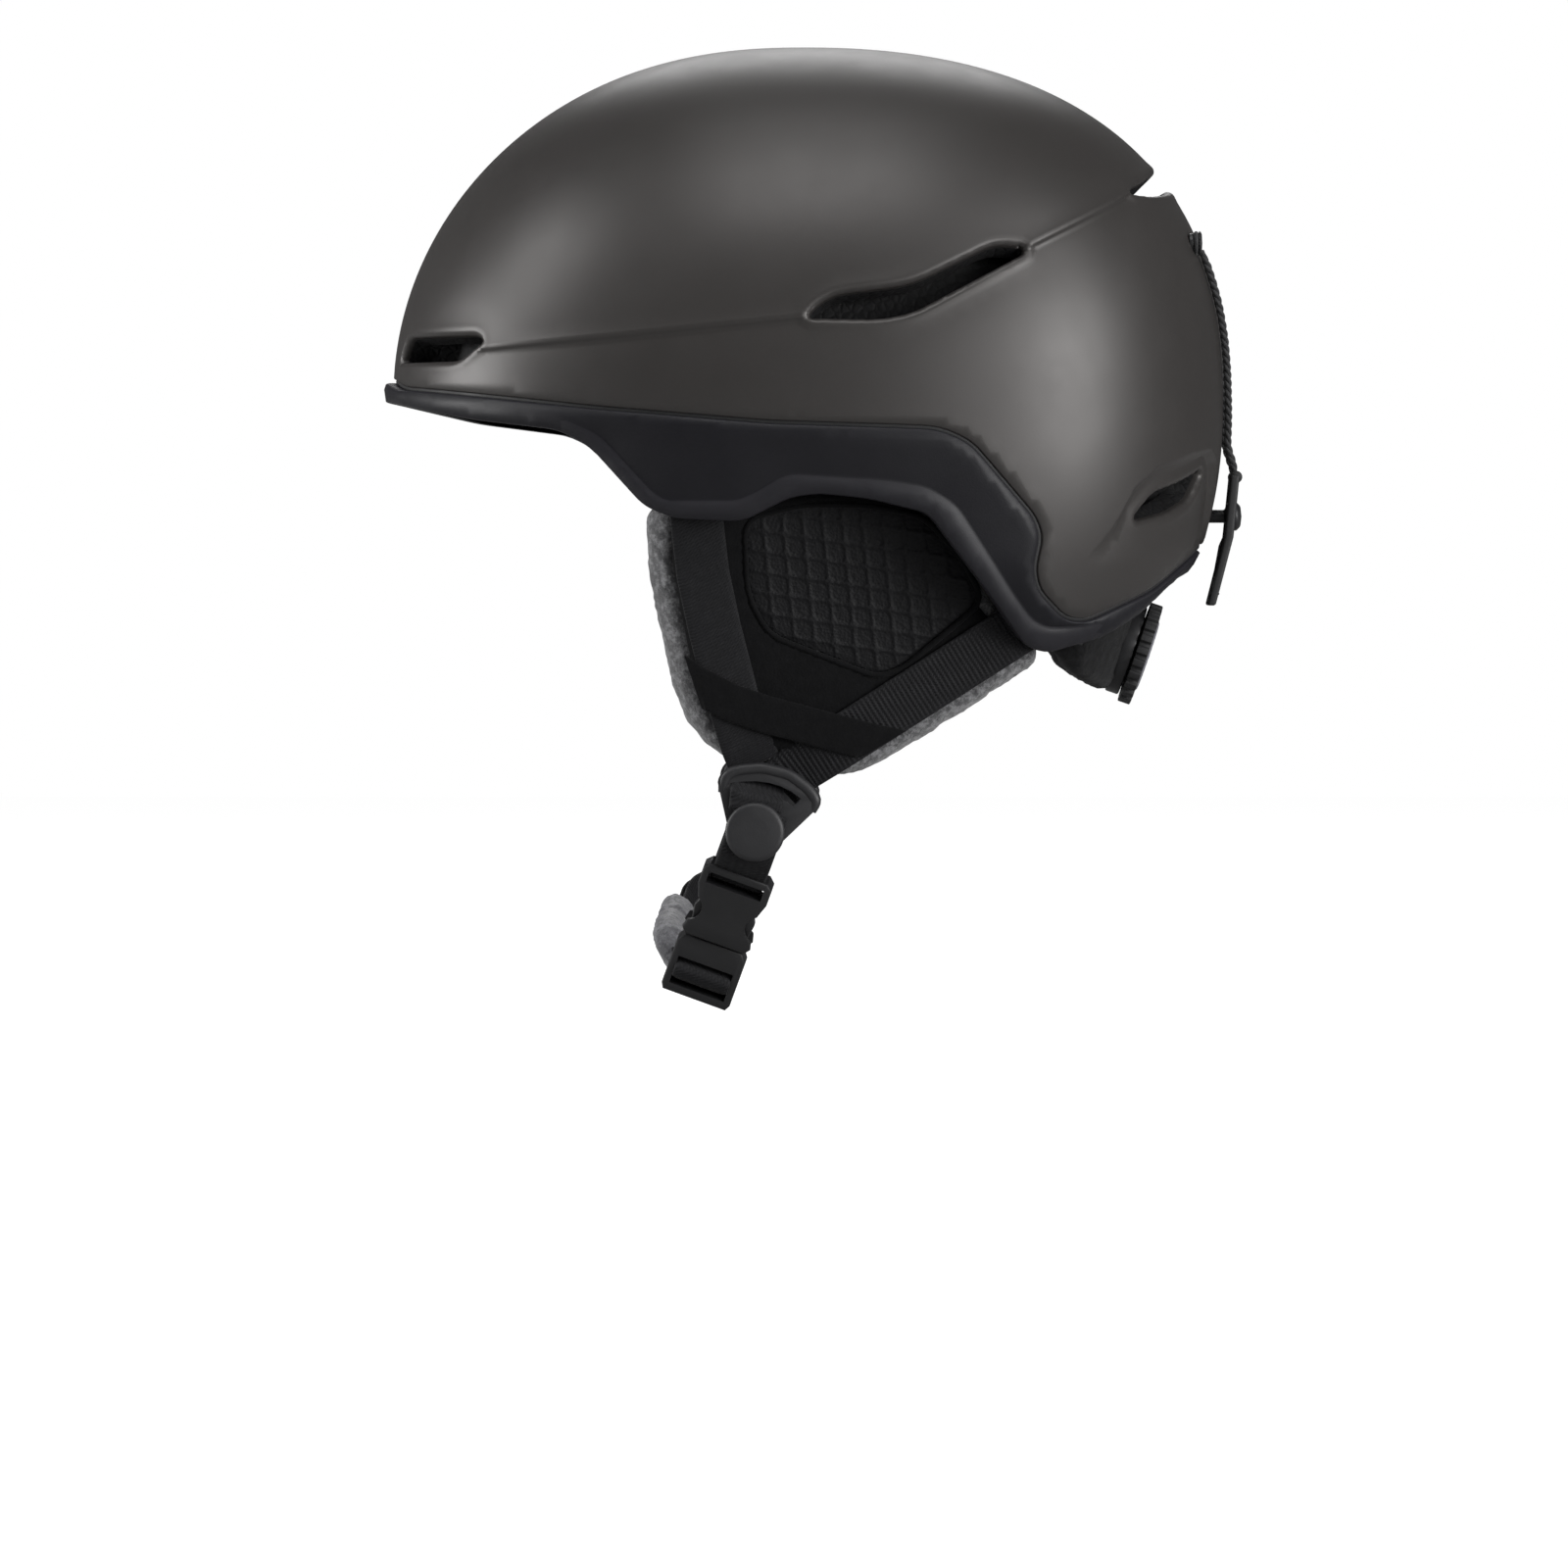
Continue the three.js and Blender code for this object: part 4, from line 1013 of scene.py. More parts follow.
def joined(*parts):
    """Several vertex and face lists as one."""
    vertices, faces, base = [], [], 0
    for part_vertices, part_faces in parts:
        vertices.append(np.array(part_vertices, float))
        faces += [tuple(i + base for i in f) for f in part_faces]
        base += len(part_vertices)
    return np.vstack(vertices), faces


def smooth_line(points, step, closed=False):
    """A curve through the points with its kinks rounded, evenly stepped."""
    curve = resampled(np.array(points, float), step / 2, closed)
    for _ in range(12):
        before, after = np.roll(curve, 1, axis=0), np.roll(curve, -1, axis=0)
        eased = 0.25 * before + 0.5 * curve + 0.25 * after
        if not closed:
            eased[0], eased[-1] = curve[0], curve[-1]
        curve = eased
    return resampled(curve, step, closed)


build_seal()


# ---- ear pads -------------------------------------------------------------------------------------
EAR_PAD_OUTLINE = [(-50, 3.5), (-50.5, -12), (-46, -38), (-41, -60), (-34, -74), (-23, -82.5), (9, -88.6),
                   (23, -86), (54, -67.6), (82, -49.5), (72, -36), (61, -23), (50, -7), (41, 3.5), (22, 9),
                   (-2, 9.5), (-20, 3.5)]
EAR_WINDOW_OUTLINE = [(-19, -1), (-18, -25.6), (-11, -39), (24.8, -53.5), (33, -51), (60, -29), (52, -14),
                      (40, -1), (22, 3), (0, 3.5)]


def scaled_loop(loop, inset):
    """A flat closed loop moved inwards by inset mm."""
    run = unit(np.roll(loop, -1, axis=0) - np.roll(loop, 1, axis=0))
    left = np.column_stack([-run[:, 1], run[:, 0]])
    area = np.sum(loop[:, 0] * np.roll(loop[:, 1], -1) - loop[:, 1] * np.roll(loop[:, 0], -1))
    return loop + inset * left * np.sign(area)


def quarter(distance, reach):
    """0 at an edge, rising as a quarter circle to 1 at reach."""
    return np.sqrt(np.maximum(0.0, 1 - (1 - np.clip(distance / reach, 0, 1)) ** 2))


def build_ear_pad(side):
    space = ear_space(side == "right")
    outline = resampled(rounded(EAR_PAD_OUTLINE, 9), 1.5, True)
    points, faces = flat_sheet(outline, 1.5)
    distance = flat_distance(points, resampled(outline, 0.5, True))
    ring = smooth_step(distance, 24, 33)
    inner = -15.5 - 12.2 * quarter(distance, 12) + 8.5 * ring
    outer = -15.5 + 9.3 * quarter(distance, 6)
    vertices, all_faces = cushion(points, faces, outer, inner)
    pad = space.mesh("ear_pad_" + side + "_look", vertices, all_faces)
    displaced(pad, lambda p: plush_offset(p, 0.55, 0.3))
    finish_piece(pad, "helmet", "grey_fleece", GREY_FLEECE, "ear_pad_" + side)
    pocket_outline = resampled(scaled_loop(resampled(outline, 3.0, True), 30.5), 2.0, True)
    points, faces = flat_sheet(pocket_outline, 2.2)
    distance = flat_distance(points, pocket_outline)
    floor = -20.2 - 0.9 * quarter(distance, 3)
    vertices, all_faces = cushion(points, faces, floor + 2.5, floor)
    pocket = space.mesh("ear_pocket_" + side, vertices, all_faces)
    displaced(pocket, lambda p: plush_offset(p, 0.5, 0.25))
    finish_piece(pocket, "helmet", "black_fleece", BLACK_FLEECE, "ear_pad_" + side)


def net_relief(points, pitch=6.6):
    """A slanting net of rounded squares pressed into the window cloth: 1 on its threads, 0 in the squares."""
    u = np.abs(((points[:, 0] + 0.10 * points[:, 1]) / pitch) % 1 - 0.5) * 2
    v = np.abs(((points[:, 1] + 0.16 * points[:, 0]) / (pitch * 1.03)) % 1 - 0.5) * 2
    return smooth_step((u**3.4 + v**3.4) ** (1 / 3.4), 0.78, 0.98)


def build_ear_cover(side):
    space = ear_space(side == "right")
    outline = resampled(scaled_loop(resampled(rounded(EAR_PAD_OUTLINE, 9), 3.0, True), 7.0), 1.5, True)
    outline[:, 1] += 6 * smooth_step(outline[:, 1], -14, -6)
    window = resampled(rounded(EAR_WINDOW_OUTLINE, 6), 1.2, True)
    points, faces = flat_sheet(outline, 2.0, [window])
    to_edge = flat_distance(points, resampled(outline, 0.5, True))
    to_window = flat_distance(points, resampled(window, 0.5, True))
    upper = -6.0 + 2.5 * quarter(to_edge, 3.2)
    upper -= 0.55 * np.exp(-(((to_window - 3.6) / 0.8) ** 2)) + 0.8 * (1 - smooth_step(to_window, 0, 1.6))
    upper += 0.18 * np.array([noise.noise(Vector((p[0] * 0.06, p[1] * 0.06, 3.0))) for p in points])
    vertices, all_faces = cushion(points, faces, upper, np.full(len(points), -7.2))
    cover = space.mesh("ear_cover_" + side + "_look", vertices, all_faces)
    finish_piece(cover, "helmet", "cover_fabric", KNIT, "ear_cover_" + side)
    piping_line = np.column_stack([np.full(len(window), -4.0), scaled_loop(window, -0.4)])
    piping = space.mesh("ear_piping_" + side, *tube(piping_line, 0.95, 10, closed=True))
    finish_piece(piping, "helmet", "cover_fabric", KNIT, "ear_cover_" + side)
    points, faces = flat_sheet(resampled(scaled_loop(window, 0.2), 0.8, True), 0.62)
    distance = flat_distance(points, resampled(window, 0.5, True))
    upper = -5.3 + 0.5 * quarter(distance, 8) + 0.42 * net_relief(points) * smooth_step(distance, 0.5, 3)
    vertices, all_faces = cushion(points, faces, upper, np.full(len(points), -7.0))
    mesh = space.mesh("ear_mesh_" + side + "_look", vertices, all_faces)
    finish_piece(mesh, "helmet", "mesh_fabric", MESH, "ear_mesh_" + side)


def ear_strip(space, name, points, width, thickness, rib, material, node, cuts=None):
    """A webbing strip through (depth, along, up) points of the ear frame, its width in the ear's plane."""
    path = smooth_line(points, 0.4)
    run = unit(np.gradient(path, axis=0))
    square = unit(np.column_stack([np.zeros(len(path)), -run[:, 2], run[:, 1]]))
    sides = square * np.ones((1, 3))
    for cut, steps in zip(cuts or (), (np.arange(len(path)), np.arange(len(path))[::-1])):
        near = (1 - smooth_step(steps * 0.4, 0, 12))[:, None]
        sides = unit(sides * (1 - near) + np.array([0.0, *cut]) * near)
    ups = np.cross(run, square)
    ups = ups * np.sign(ups[:, :1])
    slant = 1 / np.sum(sides * square, axis=1)
    piece = space.mesh(name, *strip(path, sides * slant[:, None], ups, width, thickness, rib))
    return finish_piece(piece, "helmet", "webbing", material, node)


def build_ear_webbing(side):
    space = ear_space(side == "right")
    ear_strip(space, "front_webbing_" + side + "_look",
              [(-2.35, -35.9, 7), (-2.35, -35.2, -1), (-2.35, -33.2, -18.4), (-2.35, -29.5, -36),
               (-2.35, -23.6, -59.4), (-3.2, -18.4, -76), (-5.2, -15.6, -82.5)],
              17.5, 1.5, 0.03, WEBBING, "front_webbing_" + side)
    ear_strip(space, "rear_webbing_" + side + "_look",
              [(-3.6, 82, -32), (-2.35, 71, -38.6), (-2.35, 12, -75.4), (-3.4, 5, -79.8), (-4.4, 0, -83.0),
               (-4.8, -4.5, -86.4), (-4.8, -8, -89.6)],
              17.5, 1.4, 0.2, WEBBING, "rear_webbing_" + side)
    ear_strip(space, "cross_band_" + side + "_look",
              [(-2.6, -36.5, -54.2), (-1.2, -33.5, -56), (-0.8, -24, -61), (-0.8, -13, -65),
               (-0.8, 10, -71.6), (-0.8, 21, -74.6), (-2.2, 26.6, -76.0)],
              12.4, 0.9, 0.0, KNIT, "cross_band_" + side, [(-0.31, 0.95), (0.86, 0.5)])


for side in ("left", "right"):
    build_ear_pad(side)
    build_ear_cover(side)
    build_ear_webbing(side)


# ---- chin strap and buckle ------------------------------------------------------------------------
SNAP_Y, SNAP_Z = -16.2, -103.4
STRAP_LEAN = math.radians(-20)
CHIN_TURN, CHIN_FORWARD = math.radians(42), 8.0
CHIN_STRAP_LINE = [(-86.6, -13.1), (-83.4, -17.2), (-76, -23.6), (-60, -34.6), (-46, -41.8), (-34, -45.6),
                   (-20, -47.8), (0, -48.8), (20, -49), (36, -50.2), (49, -53.6), (57.2, -57)]
CHIN_PAD_LINE = [(-46, -41.8), (-34, -45.6), (-20, -47.8), (0, -48.8), (20, -49), (36, -50.2)]
BUCKLE_TOP, BUCKLE_END = (79, -13.5), (63.8, -58.5)


def from_chin(points):
    """Points (x, along the width, up the strap plane) in the leaning chin frame, in helmet mm."""
    points = np.atleast_2d(np.array(points, float))
    cos, sin = math.cos(STRAP_LEAN), math.sin(STRAP_LEAN)
    return np.column_stack([points[:, 0], SNAP_Y + points[:, 1] * cos - points[:, 2] * sin,
                            SNAP_Z + points[:, 1] * sin + points[:, 2] * cos])


def hung_forwards(points):
    """Under the chin the strap hangs a little forwards and turns its outer face to the front."""
    points = np.array(points, float)
    line = smooth_line(CHIN_STRAP_LINE, 1.0)
    share = smooth_step(points[:, 0], -84, -60) * (1 - smooth_step(points[:, 0], 24, 50))
    middle = np.interp(points[:, 0], line[:, 0], line[:, 1])
    turn = -CHIN_TURN * share
    rise = points[:, 2] - middle
    return np.column_stack([
        points[:, 0], points[:, 1] * np.cos(turn) - rise * np.sin(turn) - CHIN_FORWARD * share,
        middle + points[:, 1] * np.sin(turn) + rise * np.cos(turn)])


def chin_strip(line, width=18.0, thickness=1.8, shift=0.0, rib=0.05):
    """A webbing strip in the chin frame that follows an [x, h] line, shifted along its own face."""
    flat = smooth_line(line, 0.6)
    run = unit(np.gradient(flat, axis=0))
    up = np.column_stack([-run[:, 1], run[:, 0]])
    flat = flat + shift * up
    zero = np.zeros(len(flat))
    path = np.column_stack([flat[:, 0], zero, flat[:, 1]])
    sides = np.tile([0.0, 1.0, 0.0], (len(flat), 1))
    ups = np.column_stack([up[:, 0], zero, up[:, 1]])
    vertices, faces = strip(path, sides, ups, width, thickness, rib, 1.9)
    return from_chin(hung_forwards(vertices)), faces


def build_straps():
    bend = make_mesh("snap_strap_look", *chin_strip(
        [(-88, 7.5), (-88, -5), (-87.7, -8.4), (-86.6, -13.1), (-83.4, -17.2), (-79, -21.3)]))
    bend.data.materials.append(WEBBING)
    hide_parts("snap_strap")
    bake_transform(bend)
    main = CHIN_STRAP_LINE[2:]
    strap = joined(
        chin_strip([(-80.6, -19.8)] + main, 17.9, 1.7),
        chin_strip([(-77.5, -22.4), (-60, -34.6), (-50, -40.0)], 17.6, 1.5, -1.75),
    )
    finish_piece(make_mesh("chin_strap_look", *strap), "chin_band", "webbing", WEBBING, "chin_strap")
    loop = joined(
        chin_strip([(88, 7.5), (88, -6), (87.2, -9.8), (84.6, -12.2), (81.0, -15.6), (79.4, -18.4)]),
        chin_strip([(86.0, 5), (85.9, -5), (84.2, -8.6), (80.5, -10.7), (76.2, -12.6), (73.6, -17.4),
                    (76.4, -19.0)], 17.6, 1.4),
    )
    finish_piece(make_mesh("buckle_strap_look", *loop), "chin_loop", "webbing", WEBBING, "buckle_strap")


def buckle_frame_points(points):
    """Points (through, across, up) in the buckle's own frame, in helmet mm."""
    top, end = np.array(BUCKLE_TOP, float), np.array(BUCKLE_END, float)
    up = (top - end) / np.linalg.norm(top - end)
    points = np.atleast_2d(np.array(points, float))
    return from_chin(np.column_stack([
        end[0] + points[:, 0] * up[1] + points[:, 2] * up[0], points[:, 1],
        end[1] - points[:, 0] * up[0] + points[:, 2] * up[1]]))


def buckle_strip(line, width, thickness):
    flat = smooth_line(line, 0.5)
    run = unit(np.gradient(flat, axis=0))
    zero = np.zeros(len(flat))
    path = np.column_stack([flat[:, 0], zero, flat[:, 1]])
    ups = np.column_stack([-run[:, 1], zero, run[:, 0]])
    sides = np.tile([0.0, 1.0, 0.0], (len(flat), 1))
    vertices, faces = strip(path, sides, ups, width, thickness, 0.05, 1.9)
    return buckle_frame_points(vertices), faces


def build_buckle():
    moulded_copy("buckle_female", "chin_loop", "black_plastic", BLACK, 0.8, 3)
    moulded_copy("buckle_male", "chin_band", "black_plastic", BLACK, 0.7, 3)
    moulded_copy("buckle_prong_rear", "prong_rear", "black_plastic", BLACK, 0.5, 3)
    moulded_copy("buckle_prong_front", "prong_front", "black_plastic", BLACK, 0.5, 3)
    wrap = buckle_strip([(-5.2, 1.5), (-3.6, 3.4), (0.5, 4.8), (4.0, 6.0), (4.9, 8.2), (4.0, 10.4),
                         (0.5, 11.4), (-4.6, 11.8), (-5.9, 8.0), (-6.2, 2.0)], 19.4, 1.4)
    finish_piece(make_mesh("ladder_wrap", *wrap), "chin_band", "webbing", WEBBING, "chin_strap")


def build_chin_pad():
    """Four sewn lobes of fleece round the strap."""
    flat = smooth_line(CHIN_PAD_LINE, 0.9)
    lengths = np.concatenate([[0], np.cumsum(np.linalg.norm(np.diff(flat, axis=0), axis=1))])
    share = lengths / lengths[-1]
    run = unit(np.gradient(flat, axis=0))
    up = np.column_stack([-run[:, 1], run[:, 0]])
    around = 64
    angle = np.arange(around) * 2 * math.pi / around
    seam = np.exp(-((np.abs(((share * 4 + 0.5) % 1) - 0.5) / 0.085) ** 2))
    seam[(share < 0.1) | (share > 0.9)] = 0
    ends = np.sqrt(np.maximum(0.0, 1 - (np.maximum(0, 1 - np.minimum(share, 1 - share) / 0.045)) ** 2))
    rows = []
    for k, (point, lift) in enumerate(zip(flat, up)):
        wide = (13.6 - 1.1 * seam[k]) * (0.72 + 0.28 * ends[k])
        thick = (5.9 - 2.0 * seam[k]) * (0.30 + 0.70 * ends[k])
        across = np.sign(np.cos(angle)) * np.abs(np.cos(angle)) ** 0.75 * wide
        through = np.sign(np.sin(angle)) * np.abs(np.sin(angle)) ** 0.8 * thick
        rows.append(np.column_stack([point[0] + lift[0] * through, across - 1.5,
                                     point[1] + lift[1] * through]))
    vertices = from_chin(hung_forwards(np.vstack(rows)))
    faces = grid_faces(len(flat), around, wrap_columns=True)
    faces.append(tuple(range(around))[::-1])
    faces.append(tuple(len(vertices) - around + k for k in range(around)))
    pad = make_mesh("chin_pad_look", vertices, faces)
    displaced(pad, lambda p: plush_offset(p, 0.5, 0.28))
    finish_piece(pad, "chin_band", "grey_fleece", PAD_FLEECE, "chin_pad")


build_straps()
build_buckle()
build_chin_pad()


# ---- strap sliders and snaps ----------------------------------------------------------------------
def lathe(profile, around=56):
    """Turns a profile of (radius, along) points; returns points (along, x, y) and faces."""
    profile = np.array(profile, float)
    angle = np.arange(around) * 2 * math.pi / around
    rows = [np.column_stack([np.full(around, along), radius * np.cos(angle), radius * np.sin(angle)])
            for radius, along in profile]
    return np.vstack(rows), grid_faces(len(profile), around, wrap_columns=True)


def bevelled_profile(profile, radius=0.35, steps=3):
    return rounded(profile, radius, closed=False, steps=steps)


def build_strap_fittings(side):
    flip = np.array([-1.0 if side == "right" else 1.0, 1, 1])
    moulded_copy("strap_slider_" + side, "helmet", "black_plastic", SATIN, 0.9, 3)
    arch = smooth_line([(-27.0, -90.5), (-26.0, -85.2), (-22.5, -83.2), (-14, -82.4), (-5, -84.6),
                        (1.2, -89.2), (4.2, -93.2), (2.6, -96.8)], 1.0)
    wire = np.column_stack([np.full(len(arch), 85.0), arch])
    ends = np.minimum(np.arange(len(arch)), np.arange(len(arch))[::-1])
    radius = 2.15 * np.clip(0.62 + ends / 12, 0, 1)
    vertices, faces = tube(wire, radius, 16)
    rim = make_mesh("slider_bar_" + side, vertices * flip, faces)
    finish_piece(rim, "helmet", "black_plastic", SATIN, "strap_slider_" + side)
    profile = bevelled_profile([(0.01, 80.8), (4.8, 80.8), (5, 83), (2.6, 83), (2.6, 89.3), (9.2, 89.3),
                                (9.9, 90.1), (9.6, 91.3), (8.6, 91.85), (4.5, 92.15), (0.01, 92.25)], 0.6)
    turned, faces = lathe(profile)
    turned = turned + np.array([0, SNAP_Y, SNAP_Z])
    snap = make_mesh("strap_snap_" + side + "_look", turned * flip, faces)
    finish_piece(snap, "helmet", "black_plastic", SATIN, "strap_snap_" + side)
    lean = np.array([0, math.cos(STRAP_LEAN), math.sin(STRAP_LEAN)])
    line = smooth_line([(80.6, -15.4, -74), (81.8, -15.4, -81), (83.1, -15.4, -86.2), (85.4, -15.4, -89.6),
                        (87.6, -15.6, -92.0), (88.0, -16.0, -96.4)], 0.5)
    run = unit(np.gradient(line, axis=0))
    sides = unit(lean - run * (run @ lean)[:, None])
    ups = np.cross(run, sides)
    vertices, faces = strip(line, sides, ups, 17.8, 1.8, 0.05, 1.9)
    loop = make_mesh("slider_loop_" + side, vertices * flip, faces)
    finish_piece(loop, "helmet", "webbing", WEBBING, "front_webbing_" + side)
    moulded_copy("front_rivet_" + side, "helmet", "black_plastic", BLACK, 0.35, 3)
    rivet = moulded_copy("rear_rivet_" + side, "helmet", "black_plastic", BLACK, 0.35, 3)
    rivet.data.transform(Matrix.Translation(Vector((-0.4 * flip[0], 10, 6)) * MM))


for side in ("left", "right"):
    build_strap_fittings(side)


# ---- rear fit system ------------------------------------------------------------------------------
FIT = Space((0, 107, -43), (0, 0.94552, -0.32557), (0, 0.32557, 0.94552))


def build_cradle_pad():
    """A quilted fleece band along the inside of the cradle."""
    half, low, high, middle = 58.5, -15.6, 20.8, 2.6
    band_radius = 122
    columns, rows = 120, 34
    outer, inner = [], []
    for i in range(columns):
        x = half * (2 * i / (columns - 1) - 1)
        for j in range(rows):
            z = low + (high - low) * j / (rows - 1)
            rounding = (1 - min(1.0, abs(x) / (half + 0.3)) ** 9) ** 0.35
            z = middle + (z - middle) * rounding * (1 - 0.1 * (x / half) ** 2)
            edge = min(half - abs(x), 1.0 * min(j, rows - 1 - j))
            plump = float(quarter(np.array([edge]), 4)[0])
            quilt = 0.9 * math.exp(-((((x + 13) % 26 - 13) / 1.7) ** 2))
            for sheet, depth in ((outer, 3.2 - 3.9 * plump), (inner, 4.6 + (4.7 - quilt) * plump)):
                radius = band_radius - depth
                sheet.append((math.sqrt(radius**2 - x * x) - band_radius, -x, z))
    count = columns * rows
    faces = grid_faces(columns, rows)
    faces += [tuple(i + count for i in f[::-1]) for f in faces]
    border = [i * rows for i in range(columns)] + [(columns - 1) * rows + j for j in range(1, rows)]
    border += [i * rows + rows - 1 for i in range(columns - 2, -1, -1)] + list(range(rows - 2, 0, -1))
    for k, a in enumerate(border):
        b = border[(k + 1) % len(border)]
        faces.append((a, b, b + count, a + count))
    pad = FIT.mesh("cradle_pad_look", outer + inner, faces)
    displaced(pad, lambda p: plush_offset(p, 0.35, 0.2))
    finish_piece(pad, "cradle", "black_fleece", BLACK_FLEECE, "cradle_pad")


def build_dial_cap():
    turned, faces = lathe(bevelled_profile([(0.01, 7.4), (13.1, 7.4), (13.2, 8.6), (11.6, 9.5), (10.9, 9.55),
                                            (10.5, 9.25), (5.6, 9.25), (5.3, 9.6), (0.01, 9.9)], 0.3))
    parts = [(turned, faces)]
    for k in range(24):
        angle = k * 2 * math.pi / 24
        size = (0.45, 1.5) if k % 6 else (0.7, 2.1)
        parts.append(raised_tick(angle, 8.2, *size, 9.2, 9.62))
    cap = FIT.mesh("dial_cap_look", *joined(*parts))
    smooth_by_angle(cap.data, math.radians(35))
    finish_piece(cap, "dial", "grey_plastic", GREY, "dial_cap")


def raised_tick(angle, radius, half_width, half_length, base, top):
    """A small raised bar pointing at the dial's axis."""
    out = np.array([math.cos(angle), math.sin(angle)])
    side = np.array([-out[1], out[0]])
    vertices = []
    for height, trim in ((base, 0.0), (top - 0.1, 0.0), (top, 0.12)):
        for s, t in ((-1, -1), (1, -1), (1, 1), (-1, 1)):
            at = out * (radius + t * (half_length - trim)) + side * s * (half_width - trim)
            vertices.append((height, at[0], at[1]))
    return np.array(vertices), grid_faces(3, 4, wrap_columns=True) + [(8, 9, 10, 11)]


def grown_inwards(piece, depth):
    """Moves a fit-system piece's innermost face further in, so that it sits on the padded band."""
    outward = Vector(FIT.basis[0])
    inmost = min(v.co @ outward for v in piece.data.vertices)
    for vertex in piece.data.vertices:
        if vertex.co @ outward < inmost + 0.9 * MM:
            vertex.co -= outward * depth * MM


moulded_copy("fit_cradle", "cradle", "black_plastic", SATIN, 1.0, 3)
moulded_copy("cradle_stem", "cradle", "black_plastic", BLACK, 0.6, 2)
housing = moulded_copy("dial_housing", "cradle", "black_plastic", BLACK, 0.5, 3)
grown_inwards(housing, 1.2)
moulded_copy("fit_dial", "dial", "black_plastic", RUBBER, 0.35, 3)
moulded_copy("dial_pinion", "dial", "black_plastic", BLACK, 0.2, 2)
build_cradle_pad()
build_dial_cap()


# ---- goggle retainer ------------------------------------------------------------------------------
ANCHOR_X, ANCHOR_Z = 32.0, 92.0


def rear_surface(x, z, stand_off):
    point = solve_on_form(np.array([[x, 0.0, z]]), 1, 1)
    return (point + form_normals(point) * stand_off)[0]


def build_retainer(side):
    sign = 1 if side == "left" else -1
    base = rear_surface(sign * ANCHOR_X, ANCHOR_Z, 0)
    turned, faces = lathe(bevelled_profile([(0.01, -1), (3.3, -1), (3.4, 0.4), (2.3, 0.7), (2.3, 2.0),
                                            (4.0, 2.3), (4.1, 2.8), (3.2, 3.3), (0.01, 3.5)], 0.3), 40)
    post = Space(base, (0, 1, 0), (0, 0, 1)).mesh("retainer_anchor_" + side + "_look", turned, faces)
    finish_piece(post, "helmet", "black_plastic", BLACK, "retainer_anchor_" + side)
    angle = np.linspace(0, 2 * math.pi, 40, endpoint=False)
    ring_radius = 3.3
    ring = np.column_stack([base[0] + ring_radius * np.cos(angle), np.full(40, base[1] + 1.4),
                            base[2] + ring_radius * np.sin(angle)])
    eye = tube(ring, 0.8, 10, closed=True)
    strands = [eye]
    share = np.linspace(0, 1, 260)
    x = sign * (31.0 + (8.6 - 31.0) * share)
    z = 88.8 + (14.6 - 88.8) * share
    line = np.array([rear_surface(a, b, 1.9) for a, b in zip(x, z)])
    line[:, 1] += 3.4 * smooth_step(share, 0.84, 1.0)
    run = unit(np.gradient(line, axis=0))
    lift = form_normals(line)
    aside = np.cross(run, lift)
    for phase in (0, 2 * math.pi / 3, 4 * math.pi / 3):
        turn = share * 2 * math.pi * 9 + phase
        spread = 0.62 * np.minimum(1, 12 * np.minimum(share, 1 - share) + 0.25)[:, None]
        twist = aside * np.cos(turn)[:, None] + lift * np.sin(turn)[:, None]
        strands.append(tube(line + spread * twist, 0.75, 8))
    cord = make_mesh("retainer_cord_" + side + "_look", *joined(*strands))
    finish_piece(cord, "retainer", "cord", CORD, "retainer_cord_" + side)


def tab_step(z):
    """How far in front of the clip's block its pull tab hangs."""
    return 2.6 * smooth_step(-z, 2, 14)


def build_clip():
    clip = moulded_copy("retainer_clip", "retainer", "rubber", RUBBER, 0.9, 4)
    for vertex in clip.data.vertices:
        vertex.co.y -= tab_step(vertex.co.z / MM) * MM
    bar = tube(smooth_line([(-10.6, 145.2, 14.2), (10.6, 145.2, 14.2)], 1.0), 2.1, 16)
    finish_piece(make_mesh("clip_bar", *bar), "retainer", "rubber", RUBBER, "retainer_clip")
    ribs = []
    for z in (-13.0, -16.0, -19.0, -22.0, -25.0):
        y = 145 + (141 - 145) * (-6 - z) / 23 - tab_step(z)
        ribs.append(tube(smooth_line([(-9, y, z), (9, y, z)], 1.0), 0.55, 10))
    finish_piece(make_mesh("clip_ribs", *joined(*ribs)), "retainer", "rubber", RUBBER, "retainer_clip")
    turned, faces = lathe(bevelled_profile([(0.01, 120), (2.2, 120), (2.2, 141.6), (4.4, 142.4), (4.9, 145.6),
                                            (3.4, 147.0), (0.01, 147.4)], 0.5), 40)
    peg = Space((0, 0, 1), (0, 1, 0), (0, 0, 1)).mesh("retainer_peg_look", turned, faces)
    finish_piece(peg, "helmet", "black_plastic", BLACK, "retainer_peg")


for side in ("left", "right"):
    build_retainer(side)
build_clip()


# ---- foam liner -----------------------------------------------------------------------------------
moulded_copy("foam_liner", "helmet", "foam", FOAM, 1.0, 2, angle=38, box=((-63, 106, 105), (63, 130, 118)))


# ---- floor and light ------------------------------------------------------------------------------
def add_floor():
    lowest = min(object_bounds()[0][2], cad_bounds[0][2]) - 0.004
    half = 4.0
    mesh = bpy.data.meshes.new("floor")
    corners = [(-half, -half), (half, -half), (half, half), (-half, half)]
    mesh.from_pydata([(x, y, lowest) for x, y in corners], [], [(0, 1, 2, 3)])
    floor = bpy.data.objects.new("floor", mesh)
    bpy.context.scene.collection.objects.link(floor)
    mesh.materials.append(pale_floor())


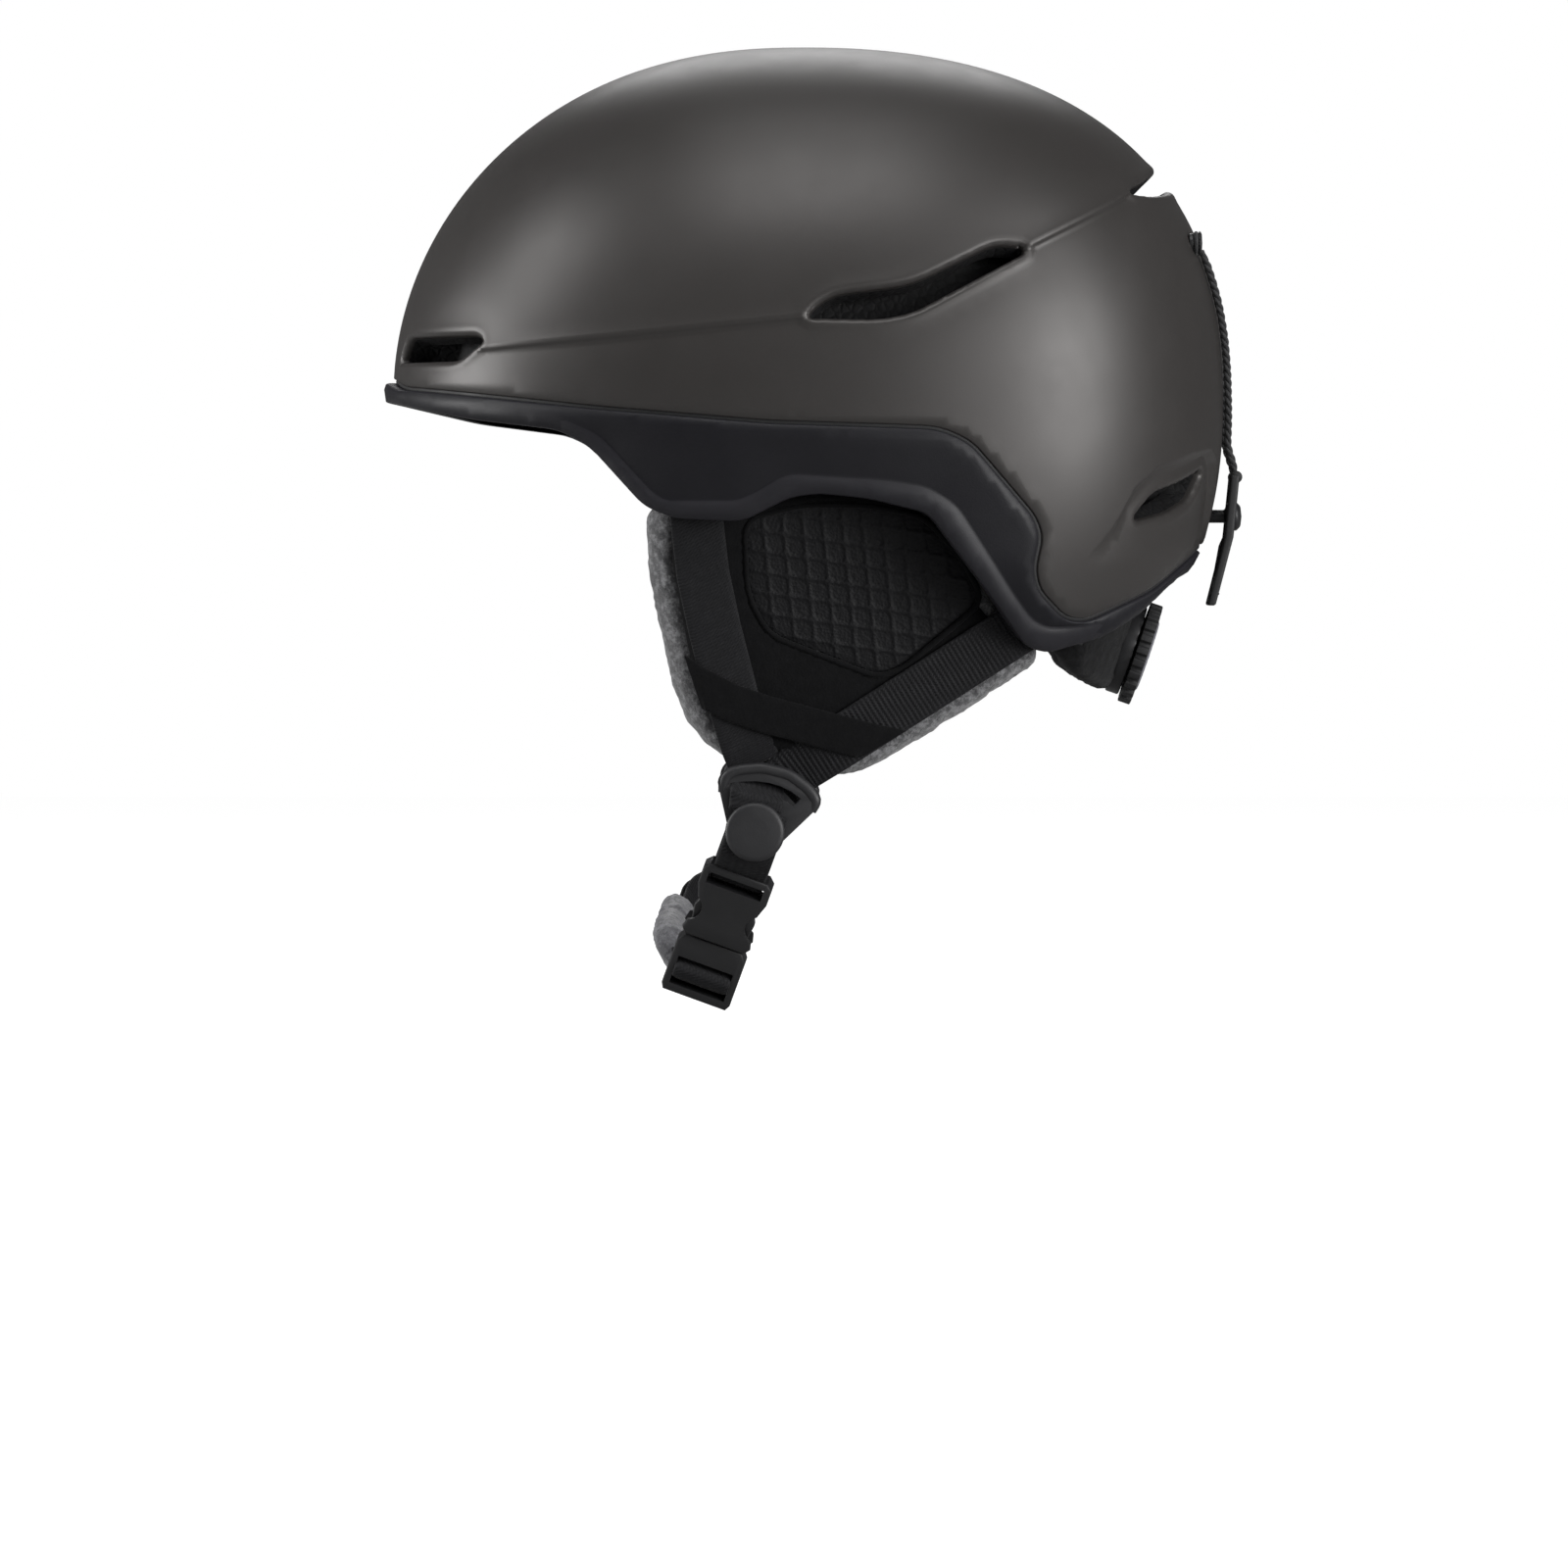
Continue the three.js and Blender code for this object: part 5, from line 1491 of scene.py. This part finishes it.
def pale_floor():
    """Pale to look at, but dim to the object, so that it lights the helmet's underside only softly."""
    s = Surface("floor", (0.30, 0.30, 0.30), 0.9)
    s.tint(s.noise(3.0), (0.32, 0.32, 0.32))
    seen = s.tree.nodes.new("ShaderNodeLightPath").outputs["Is Camera Ray"]
    s.shader.inputs["Emission Color"].default_value = (1.0, 1.0, 1.0, 1.0)
    s.tree.links.new(s.ranged(seen, 0.0, 1.0, 0.0, 0.95), s.shader.inputs["Emission Strength"])
    return s.done()


# name: degrees round from the left side towards the rear, degrees up, watts
LIGHTS = {
    "front": (-90, 5, 29.0),
    "front_high": (-75, 35, 14.0),
    "rear": (57, 5, 30.0),
    "rear_high": (55, 35, 9.0),
    "side_low": (30, 5, 6.5),
    "side_high": (0, 62, 12.5),
    "top": (0, 88, 4.0),
    "far_side": (180, 35, 7.0),
}


def add_light(name, around, up, power):
    """A soft square panel 2 m from the helmet; around is in degrees from its left side towards its rear."""
    data = bpy.data.lights.new(name, "AREA")
    data.size, data.energy = 0.9, power
    light = bpy.data.objects.new(name, data)
    around, up = math.radians(around), math.radians(up)
    away = Vector((math.cos(around) * math.cos(up), math.sin(around) * math.cos(up), math.sin(up)))
    light.location = Vector((0.0, 0.0, 0.04)) + 2.0 * away
    light.rotation_euler = (-away).to_track_quat("-Z", "Y").to_euler()
    bpy.context.scene.collection.objects.link(light)


def add_world():
    """A white surround behind the object that lights it only softly."""
    world = bpy.data.worlds.new("studio")
    world.use_nodes = True
    tree = world.node_tree
    background = tree.nodes["Background"]
    background.inputs[0].default_value = (1.0, 1.0, 1.0, 1.0)
    seen = tree.nodes.new("ShaderNodeLightPath").outputs["Is Camera Ray"]
    strength = tree.nodes.new("ShaderNodeMapRange")
    strength.inputs[3].default_value, strength.inputs[4].default_value = 0.07, 1.0
    tree.links.new(seen, strength.inputs[0])
    tree.links.new(strength.outputs[0], background.inputs[1])
    bpy.context.scene.world = world


bpy.context.scene.view_settings.view_transform = "Standard"
add_floor()
add_world()
for name, (around, up, power) in LIGHTS.items():
    add_light(name, around, up, power)
